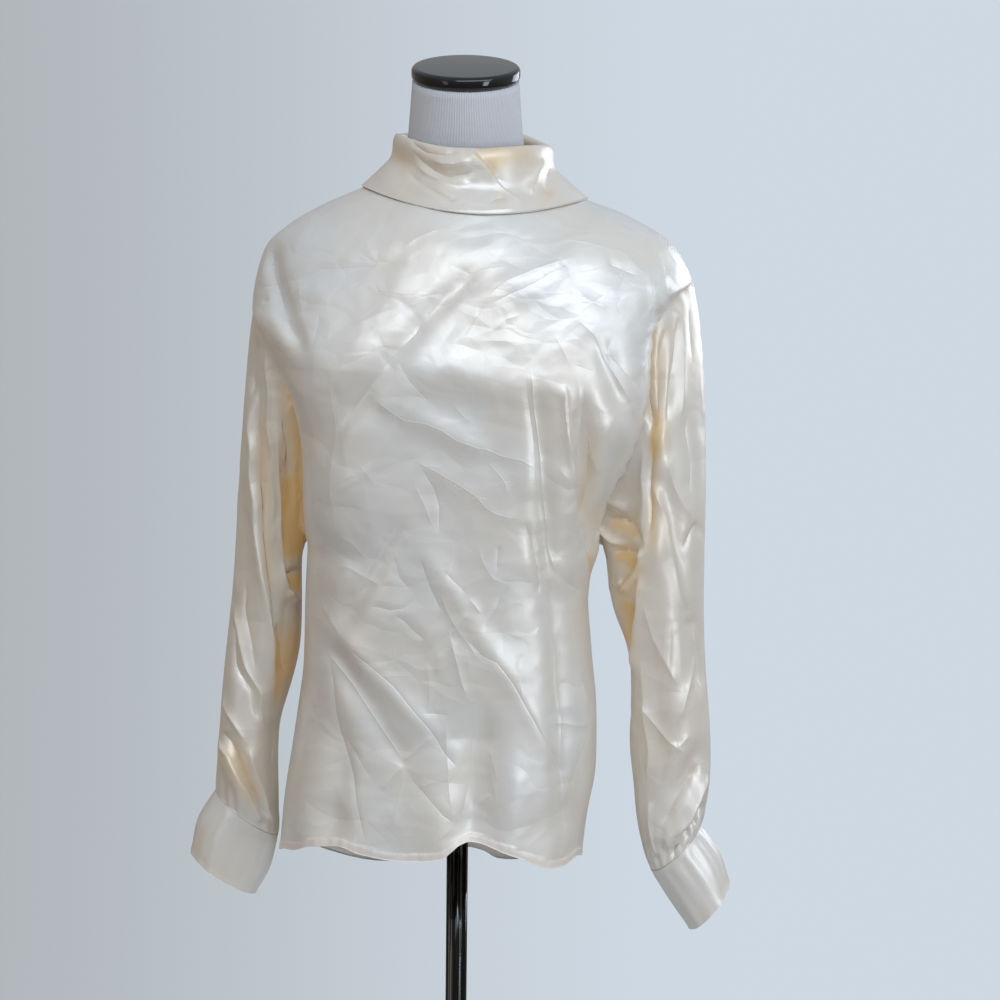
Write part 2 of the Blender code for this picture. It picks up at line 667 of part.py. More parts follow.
def finish_sleeve(sleeve, seam, folds, cuff_rows):
    """The sleeve's folds, and its cuff, cut to meet at the cuff seam."""
    across, facing, stretch = seam
    plain = sleeve.grid
    toward = plain - plain.mean(axis=1, keepdims=True)
    shaped = folded(plain, sleeve.out, folds, -1)
    grid = eased(shaped, plain, 0, SLEEVE_EASE_TOP, SLEEVE_EASE_CUFF)
    done = Cloth(grid, normals(grid, toward, around=True))
    done.out[0], done.stretch[0] = facing, stretch
    done.cut[0] += across * SEAM_GAP / 2

    angles = angles_round(grid.shape[1])
    rings = np.stack([sleeve_ring(cuff_rows, r, angles) for r in np.linspace(0, 1, CUFF_STEPS + 1)])
    toward = rings - rings.mean(axis=1, keepdims=True)
    cuff = Cloth(rings, normals(rings, toward, around=True))
    across, facing, stretch = mitre(rings[0], rings[1], grid[-2], cuff.out[0])
    for piece, i, way in ((done, -1, -1), (cuff, 0, 1)):
        piece.out[i], piece.stretch[i] = facing, stretch
        piece.cut[i] += across * SEAM_GAP / 2 * way
    return done, cuff


def add_object(name, vertices, faces, finish):
    colour, roughness, metallic, sheen = finish
    mesh = bpy.data.meshes.new(name)
    mesh.from_pydata([tuple(float(c) * CM for c in v) for v in vertices], [], faces)
    mesh.update()
    item = bpy.data.objects.new(name, mesh)
    bpy.context.scene.collection.objects.link(item)
    material = bpy.data.materials.new(name)
    material.use_nodes = True
    shader = material.node_tree.nodes["Principled BSDF"]
    shader.inputs["Base Color"].default_value = (*colour, 1.0)
    shader.inputs["Roughness"].default_value = roughness
    shader.inputs["Metallic"].default_value = metallic
    shader.inputs["Sheen Weight"].default_value = sheen
    mesh.materials.append(material)


def volume(vertices, faces):
    total = 0.0
    for face in faces:
        for k in range(1, len(face) - 1):
            a, b, c = (vertices[face[m]] for m in (0, k, k + 1))
            total += float(np.dot(a, np.cross(b, c)))
    return total / 6


def add_solid(name, vertices, faces, finish):
    """The object, with its faces turned outwards."""
    if volume(vertices, faces) < 0:
        faces = [face[::-1] for face in faces]
    add_object(name, vertices, faces, finish)


def rim_edges(n_rows, n_columns, last, around):
    """The edges round a grid's free sides, as pairs of point numbers."""

    def at(i, j):
        return i * n_columns + j % n_columns

    rims = [(at(0, j), at(0, j + 1)) for j in range(last)]
    rims += [(at(n_rows - 1, j + 1), at(n_rows - 1, j)) for j in range(last)]
    if not around:
        rims += [(at(i + 1, 0), at(i, 0)) for i in range(n_rows - 1)]
        rims += [(at(i, last), at(i + 1, last)) for i in range(n_rows - 1)]
    return rims


def halves(points, a, b, c, d):
    """A quad's two triangles, split along its shorter diagonal, so that both sides of a wall match."""
    if np.linalg.norm(points[a] - points[c]) < np.linalg.norm(points[b] - points[d]):
        return (a, b, c), (a, c, d)
    return (a, b, d), (b, c, d)


def shell(name, cloth, around=False):
    """The cloth as a closed solid, WALL thick about its middle surface."""
    n_rows, n_columns = cloth.cut.shape[:2]
    count = n_rows * n_columns
    last = n_columns if around else n_columns - 1
    half = cloth.out * (cloth.stretch * WALL / 2)[..., None]
    vertices = np.concatenate([(cloth.cut + half).reshape(-1, 3), (cloth.cut - half).reshape(-1, 3)])
    points = cloth.cut.reshape(-1, 3)
    faces = []
    for i in range(n_rows - 1):
        for j in range(last):
            beside = (j + 1) % n_columns
            upper, lower = i * n_columns, (i + 1) * n_columns
            for corners in halves(points, upper + j, lower + j, lower + beside, upper + beside):
                faces.append(corners)
                faces.append(tuple(k + count for k in reversed(corners)))
    level = points @ RIM_SPLIT
    for a, b in rim_edges(n_rows, n_columns, last, around):
        # Both sides of a seam split each rim face along the same diagonal.
        if level[a] < level[b]:
            faces += [(a, b, b + count), (a, b + count, a + count)]
        else:
            faces += [(a, b, a + count), (b, b + count, a + count)]
    add_solid(name, vertices, faces, SILK)


def loft(name, rings, finish):
    """A closed solid through rings of equal count, capped at both ends."""
    n_rings, n = rings.shape[:2]
    faces = [
        (i * n + j, i * n + (j + 1) % n, (i + 1) * n + (j + 1) % n, (i + 1) * n + j)
        for i in range(n_rings - 1)
        for j in range(n)
    ]
    faces.append(tuple(range(n))[::-1])
    faces.append(tuple((n_rings - 1) * n + j for j in range(n)))
    add_solid(name, rings.reshape(-1, 3), faces, finish)


def turned(name, profile, centre, tilt, finish):
    """A solid of revolution: (radius, height) points about an axis tilted forwards by tilt degrees."""
    angles = angles_round(TURNED_COLUMNS)
    lean = math.radians(tilt)
    axis = np.array([0.0, -math.sin(lean), math.cos(lean)])
    aside = np.array([0.0, math.cos(lean), math.sin(lean)])
    ring = np.outer(np.cos(angles), [1.0, 0, 0]) + np.outer(np.sin(angles), aside)
    rings = [np.array(centre) + ring * radius + axis * height for radius, height in profile]
    loft(name, np.array(rings), finish)


def build_blouse():
    front, back = body_panels()
    join_panels(front, back)
    left, left_seam = join_sleeve(front, back, -1, -2, LEFT_SLEEVE)
    right, right_seam = join_sleeve(front, back, 0, 1, RIGHT_SLEEVE)
    collar = join_collar(front, back)
    shell("front", front)
    shell("back", back)
    left, left_cuff = finish_sleeve(left, left_seam, LEFT_SLEEVE_FOLDS, LEFT_CUFF)
    right, right_cuff = finish_sleeve(right, right_seam, RIGHT_SLEEVE_FOLDS, RIGHT_CUFF)
    shell("sleeve_left", left, around=True)
    shell("cuff_left", left_cuff, around=True)
    shell("sleeve_right", right, around=True)
    shell("cuff_right", right_cuff, around=True)
    shell("collar", collar, around=True)


def build_torso():
    cos, sin = np.cos(angles_round(TORSO_COLUMNS)), np.sin(angles_round(TORSO_COLUMNS))
    rings = []
    for z, half, x_mid, y_front, y_back, square, tilt in zip(*TORSO_RINGS.values()):
        y_mid = (y_front + y_back) / 2
        y = y_mid - (y_back - y_front) / 2 * powered(sin, 2 / square)
        x = x_mid + half * powered(cos, 2 / square)
        lifted = z + (y - y_mid) * math.tan(math.radians(tilt))
        rings.append(np.stack([x, y, lifted], axis=1))
    loft("torso", np.array(rings), JERSEY)


def build_form():
    build_torso()
    profile = []
    for angle in CAP_RIM_ANGLES:
        a = math.radians(angle)
        level = -CAP_EDGE if angle > 0 else CAP_EDGE - CAP_THICKNESS
        profile.append((CAP_RADIUS - CAP_EDGE * (1 - math.cos(a)), level + CAP_EDGE * math.sin(a)))
    turned("neck_cap", profile, CAP_CENTRE, CAP_TILT, BLACK_GLOSS)
    bottom = BASE["height"][-1] + SEAM_GAP
    top = TORSO_RINGS["z"][0] - SEAM_GAP
    turned("pole", [(POLE_RADIUS, bottom), (POLE_RADIUS, top)], (0, 0, 0), 0, CHROME)
    turned("base", list(zip(BASE["radius"], BASE["height"])), (0, 0, 0), 0, CHROME)


def main():
    for item in list(bpy.data.objects):
        bpy.data.objects.remove(item)
    build_blouse()
    build_form()


if __name__ == "__main__":
    main()
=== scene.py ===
"""The silk blouse on its dress form, as a Blender add-on that is run as a script.

Tables are in centimetres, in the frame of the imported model: +Z up, the blouse's front towards -Y. Left and
right are the wearer's, so left is +X. Cloth is built as closed thin shells, fine outside and coarser inside.
"""

import collections
import functools
import math

import bpy
import numpy as np
from bpy.props import FloatProperty, IntProperty, PointerProperty
from bpy.types import Operator, Panel, PropertyGroup
from mathutils import Matrix, Vector


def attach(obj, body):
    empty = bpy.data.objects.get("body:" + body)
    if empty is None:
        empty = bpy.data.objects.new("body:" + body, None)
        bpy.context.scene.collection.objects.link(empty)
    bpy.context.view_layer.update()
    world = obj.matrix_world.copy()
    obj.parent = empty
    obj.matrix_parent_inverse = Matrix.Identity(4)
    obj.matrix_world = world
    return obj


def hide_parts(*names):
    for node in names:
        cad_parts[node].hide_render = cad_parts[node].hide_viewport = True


bl_info = {
    "name": "Silk Blouse on a Dress Form",
    "version": (1, 0, 0),
    "blender": (4, 5, 0),
    "location": "3D View > Sidebar > Blouse",
    "description": "Builds a satin silk blouse on a dress form",
    "category": "Add Mesh",
}

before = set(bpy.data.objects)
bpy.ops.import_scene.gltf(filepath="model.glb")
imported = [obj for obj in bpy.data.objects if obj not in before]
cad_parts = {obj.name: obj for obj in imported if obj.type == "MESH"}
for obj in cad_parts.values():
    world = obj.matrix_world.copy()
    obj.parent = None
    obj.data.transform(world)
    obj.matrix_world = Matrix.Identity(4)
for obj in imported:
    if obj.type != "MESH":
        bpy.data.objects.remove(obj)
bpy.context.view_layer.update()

CM = 0.01
WALL = 0.12  # thickness of the cloth
SEAM_GAP = 0.03  # clearance between two sewn pieces

# Mesh steps. Each is even, because a shell's inner side takes every second point.
FRONT_COLUMNS = 250
BACK_COLUMNS = 170
SHOULDER_STEPS = 40
ARMHOLE_STEPS = 116
SIDE_STEPS = 156
SLEEVE_STEPS = 210
CUFF_STEPS = 44
COLLAR_STEPS = 56
FINE = 721  # points of a row before its even steps are measured off

# v counts down the body: 0 neck seam, 5 shoulder tip, 12 underarm, 18 hem.
V_TIP, V_UNDERARM, V_HEM = 5.0, 12.0, 18.0


def table(columns, rows):
    """A table as one array per named column."""
    return {
        name: np.array([row[k] for row in rows], float)
        for k, name in enumerate(columns.split())
    }


# The line where front and back meet: shoulder seam, then each side of the armhole, then side seam.
EDGE = "v z x_front y_front x_back y_back"
LEFT_EDGE = table(EDGE, [
    (0, 138.7, 9.1, 1.5, 9.1, 1.5),
    (1, 136.9, 12.3, 1.3, 12.3, 1.3),
    (2, 135.9, 15.2, 1.2, 15.2, 1.2),
    (3, 134.5, 18.1, 1.2, 18.1, 1.2),
    (4, 132.8, 20.7, 1.1, 20.7, 1.1),
    (5, 129.2, 22.7, 0.6, 22.7, 0.6),
    (6, 127.9, 21, -2.8, 21.4, 3.4),
    (7, 124.2, 18.1, -6.6, 19, 6.6),
    (8, 118.8, 17.9, -6.2, 17.9, 8.2),
    (9, 112.9, 16.7, -4.6, 17.2, 8),
    (10, 107.5, 14.4, -2, 15.6, 5.6),
    (11, 103.8, 13.7, -0.7, 14.4, 2.8),
    (12, 102.5, 14, 0.5, 14, 0.5),
    (13, 98, 12.9, 0.7, 12.9, 0.7),
    (14, 92, 13.4, 0.7, 13.4, 0.7),
    (15, 86, 14, 0.7, 14, 0.7),
    (16, 80.5, 14.1, 0.7, 14.1, 0.7),
    (17, 75.5, 13.3, 0.7, 13.3, 0.7),
    (18, 70.6, 12.7, 0.7, 12.7, 0.7),
])
RIGHT_EDGE = table(EDGE, [
    (0, 139.3, -7.2, 1.5, -7.2, 1.5),
    (1, 137.9, -10, 1.3, -10, 1.3),
    (2, 136.2, -13.9, 1.2, -13.9, 1.2),
    (3, 134.2, -17.3, 1.2, -17.3, 1.2),
    (4, 131.8, -19.7, 1.2, -19.7, 1.2),
    (5, 126.6, -20.8, 1, -20.8, 1),
    (6, 125.3, -20.4, -1.9, -20.3, 3.8),
    (7, 122, -18.2, -5.2, -18.6, 6.6),
    (8, 117.2, -16.1, -5.4, -17.6, 8.2),
    (9, 111.9, -15.3, -4, -17, 8),
    (10, 107.1, -15.4, -2.4, -16.1, 5.6),
    (11, 103.7, -15.3, -0.8, -15.5, 2.8),
    (12, 102.5, -15.2, 0.6, -15.2, 0.6),
    (13, 98, -15.45, 0.6, -15.45, 0.6),
    (14, 92, -15.55, 0.6, -15.55, 0.6),
    (15, 86, -16.2, 0.6, -16.2, 0.6),
    (16, 80.5, -17, 0.6, -17, 0.6),
    (17, 75.5, -17.7, 0.6, -17.7, 0.6),
    (18, 71, -18.1, 0.6, -18.1, 0.6),
])

# How far each hem lifts (or dips) along its width, as the folds carry it.
FRONT_HEM = table("x lift", [
    (-18.1, 0.7), (-16, 0.6), (-14.2, 1), (-11.6, 1), (-9, 0.2), (-5.2, -0.4), (-2.6, -0.3),
    (-1.1, 0), (-0.5, 0.5), (0.4, 1.2), (1.4, 1.5), (2.6, 1.4), (4.1, 1), (6.2, 0.3),
    (9, -0.5), (10.4, -0.2), (11.6, 0.6), (12.5, 1.1),
])
BACK_HEM = table("x lift", [
    (-18, 0), (-11, -0.3), (-3, 0.1), (-0.8, 1), (1, 1.7), (2.6, 1.2), (4.2, 0.2),
    (7, -0.2), (12.5, 0),
])
HEM_LIFT_START = 15.0  # the v where the lift fades out
HEM_LIFT_POWER = 1.6  # how late the lift grows on its way to the hem

# Each panel between its edges: y at the centre, squareness of the curve, drop of the centre below the edges.
PANEL = "v y square drop"
FRONT = table(PANEL, [
    (0, -8.2, 2, 1.7),
    (1, -9.5, 2, 2.1),
    (2, -10.3, 2.1, 2.1),
    (3, -11.1, 2.2, 1.8),
    (4, -11.8, 2.3, 1.3),
    (5, -13, 2.4, 0.7),
    (6, -13.25, 2.5, 0.4),
    (7, -13.9, 2.8, 0.2),
    (8, -14.1, 3, 0),
    (9, -13.9, 3, 0),
    (10, -13.6, 2.9, 0),
    (11, -13.4, 2.8, 0),
    (12, -13.3, 2.8, 0),
    (13, -13.1, 2.8, 0),
    (14, -13, 2.8, 0),
    (15, -13, 2.8, -0.3),
    (16, -13.1, 2.8, -1.1),
    (17, -13.3, 2.8, -2),
    (18, -13.5, 2.8, -3),
])
BACK = table(PANEL, [
    (0, 7.6, 2, -2),
    (1, 8.9, 2, -1.7),
    (2, 10, 2.1, -1.3),
    (3, 10.8, 2.2, -0.9),
    (4, 11.3, 2.3, -0.5),
    (5, 11.7, 2.4, 0),
    (6, 11.8, 2.4, 0),
    (7, 11.9, 2.5, 0),
    (8, 11.7, 2.5, 0),
    (9, 11.2, 2.5, 0),
    (10, 10.6, 2.5, 0),
    (11, 10.2, 2.5, 0),
    (12, 10, 2.5, 0),
    (13, 9.6, 2.5, 0),
    (14, 9.2, 2.5, 0),
    (15, 9, 2.5, 0.5),
    (16, 8.9, 2.5, 1.6),
    (17, 8.9, 2.5, 3.2),
    (18, 8.9, 2.5, 4.8),
])

# Each sleeve from armhole to cuff: its outer and inner lines, middle y, and depth before and behind it.
SLEEVE = "r x_out z_out x_in z_in y_mid fore aft"
LEFT_SLEEVE = table(SLEEVE, [
    (0.00, 22.7, 129.2, 14, 102.5, 0.5, 6.8, 7.8),
    (0.04, 23.2, 128.2, 14.9, 102.3, 0.5, 6.7, 7.8),
    (0.12, 23.7, 124.5, 15.1, 99.6, 0.5, 6.3, 7.5),
    (0.25, 24.4, 117, 15.7, 95.9, 0.4, 5.7, 7),
    (0.40, 24.7, 107.5, 17.3, 91.8, 0.3, 5, 6.4),
    (0.55, 24.7, 98.5, 17.7, 87.2, 0.2, 4.5, 5.9),
    (0.70, 25.1, 90, 17.6, 82.4, 0.1, 4.3, 5.4),
    (0.82, 25.8, 82.8, 18.2, 77.9, 0, 4.2, 5),
    (0.92, 26, 77.2, 18.6, 72.7, 0, 4, 4.4),
    (1.00, 24.9, 73.2, 20.1, 68.5, 0, 3.1, 3.2),
])
RIGHT_SLEEVE = table(SLEEVE, [
    (0.00, -20.8, 126.6, -15.2, 102.5, 0.6, 6, 7.6),
    (0.04, -20.95, 125.8, -16.1, 102.3, 0.9, 5.9, 7.5),
    (0.12, -21.4, 122.4, -16.3, 99.6, 1.3, 5.6, 7.2),
    (0.25, -21.9, 115.6, -16.3, 95.9, 1.6, 5.4, 6.8),
    (0.40, -22.5, 107, -16.4, 91.6, 1.6, 5, 6.3),
    (0.55, -22.95, 99, -17.5, 86.9, 1.3, 4.6, 5.8),
    (0.70, -23.8, 91.2, -18.7, 82.6, 0.9, 4.3, 5.4),
    (0.82, -24.4, 85.2, -18.7, 78.8, 0.6, 4.2, 5),
    (0.92, -24.7, 80.4, -18.5, 75, 0.3, 3.9, 4.4),
    (1.00, -24.9, 76.5, -18.6, 71.8, 0.1, 2.9, 3),
])
LEFT_CUFF = table(SLEEVE, [
    (0, 24.9, 73.2, 20.1, 68.5, 0, 3.1, 3.2),
    (0.5, 27.1, 70.2, 22.2, 65.2, 0, 3.2, 3.2),
    (1, 28.2, 67.2, 24.2, 62.3, 0, 3.2, 3.2),
])
RIGHT_CUFF = table(SLEEVE, [
    (0, -24.9, 76.5, -18.6, 71.8, 0.1, 2.9, 3),
    (0.5, -26.9, 73, -19.5, 68.3, 0.1, 3, 3),
    (1, -27.5, 69.9, -21, 65.6, 0.1, 3, 3),
])

# The bias collar, from the neck seam up inside, over its soft fold, and down to its free edge.
COLLAR = "r x_right z_right x_left z_left y_front z_front y_back z_back y_side"
COLLAR_RINGS = table(COLLAR, [
    (0, -7.2, 139.3, 9.1, 138.7, -8.2, 137.3, 7.6, 141, 1.5),
    (1, -6.9, 140.7, 8.7, 139.8, -7.5, 139.1, 7.2, 142.4, 1.1),
    (2, -6.5, 142.6, 8.2, 141.6, -6.9, 141, 6.8, 143.8, 0.9),
    (3, -6.65, 143.2, 8.45, 142.2, -7.15, 141.6, 7.1, 144.3, 0.9),
    (4, -6.95, 142.6, 8.8, 141.6, -7.6, 141, 7.6, 143.8, 0.9),
    (5, -7.2, 141, 9, 140.1, -8.2, 139.3, 8.2, 142.6, 1),
])
COLLAR_REACH = 1.0  # the v on the body that the free edge lies over
COLLAR_LIFT = 0.24  # from the body's middle surface to the free edge's
COLLAR_BEND = 0.4  # where the last ring but one lies, as a share of the way to the free edge
COLLAR_SAG = 0.1  # how far that ring hangs below the straight line

ARMHOLE_BLEND = 0.32  # the r at which a sleeve has left the armhole's own shape

# Broad folds as a line in the front view: its two ends, reach to each side and height (minus for a trough).
FOLD = "x0 z0 x1 z1 reach height"
FRONT_FOLDS = table(FOLD, [
    (-12.5, 121.2, -3, 121, 2.5, 0.54),
    (-3, 121, 12, 118.8, 2.5, 0.54),
    (12, 118.8, 16.4, 112.6, 2.2, 0.42),
    (1.2, 130.1, -4.5, 124, 1, -0.35),
    (-4.5, 124, -12.6, 113.8, 1.2, -0.4),
    (10.8, 131.2, 3, 127.8, 1.5, 0.35),
    (-16, 128.5, -6.1, 130.9, 0.9, -0.2),
    (-18.7, 132, -17.6, 127.5, 0.9, -0.55),
    (-17.6, 127.5, -14.9, 122.8, 1, -0.6),
    (13.2, 123.5, 15.2, 117.5, 1, -0.4),
    (7.2, 119, 8.1, 110, 0.9, -0.4),
    (8.1, 110, 9.8, 92, 1, -0.5),
    (9.8, 92, 10.8, 76, 1.1, -0.55),
    (11.2, 119, 12, 112, 0.9, -0.35),
    (12, 112, 13.2, 104.5, 1.3, -0.75),
    (-7.7, 118.5, 2.2, 113.8, 1.2, 0.25),
    (-5.8, 105.8, -11.3, 95.6, 1.1, -0.35),
    (-11.3, 95.3, -2.5, 86.3, 1.1, 0.4),
    (-12.4, 94, -5.2, 83.8, 1.2, -0.4),
    (-3, 103.6, 5.4, 90.9, 1.2, 0.35),
    (5.4, 90.9, 10.1, 83.1, 1.2, 0.35),
    (1.8, 74, 2.6, 88, 1.9, -1.1),
    (-2.4, 74, -2.2, 85, 1.8, 0.35),
    (5.6, 74, 5, 84, 1.8, 0.35),
    (-12, 75, -11, 86, 1.8, -0.6),
    (-16, 74, -15, 84, 1.4, 0.3),
])
BACK_FOLDS = table(FOLD, [
    (-11, 126, 11, 126, 2.4, 0.3),
    (-9, 118, -11, 72, 1.8, -0.6),
    (-3.5, 112, -4, 70, 1.7, 0.5),
    (1.5, 114, 2.5, 70, 1.6, -0.65),
    (7, 112, 7.5, 72, 1.7, 0.5),
    (12, 118, 11, 76, 1.5, -0.5),
])
COLLAR_FOLDS = table(FOLD, [
    (-6.5, 140.3, 0, 138.4, 1.2, -0.38),
    (0, 138.3, 8.5, 138.2, 1.5, -0.6),
])
LEFT_SLEEVE_FOLDS = table(FOLD, [
    (17, 112, 16.8, 101, 1.4, -0.6),
    (19.3, 117, 19.2, 101, 1.2, 0.5),
    (19.8, 110, 22, 100, 1, -0.4),
    (22, 100, 24.2, 88.8, 1.1, -0.35),
    (24.4, 82, 21, 76.5, 1.2, -0.6),
    (23.9, 77.3, 20.6, 71, 1, 0.35),
    (19.5, 92, 20.4, 80, 1.1, -0.4),
])
RIGHT_SLEEVE_FOLDS = table(FOLD, [
    (-20.7, 117, -19.4, 98, 1.1, 0.4),
    (-19.4, 98, -19, 87, 1.1, 0.4),
    (-18, 112, -17.2, 99, 1.2, -0.7),
    (-16.6, 97.5, -18.2, 86, 1.1, -0.5),
    (-23.9, 81, -21.6, 76.5, 0.8, 0.35),
    (-22.6, 81.5, -20.6, 76, 0.8, -0.4),
])

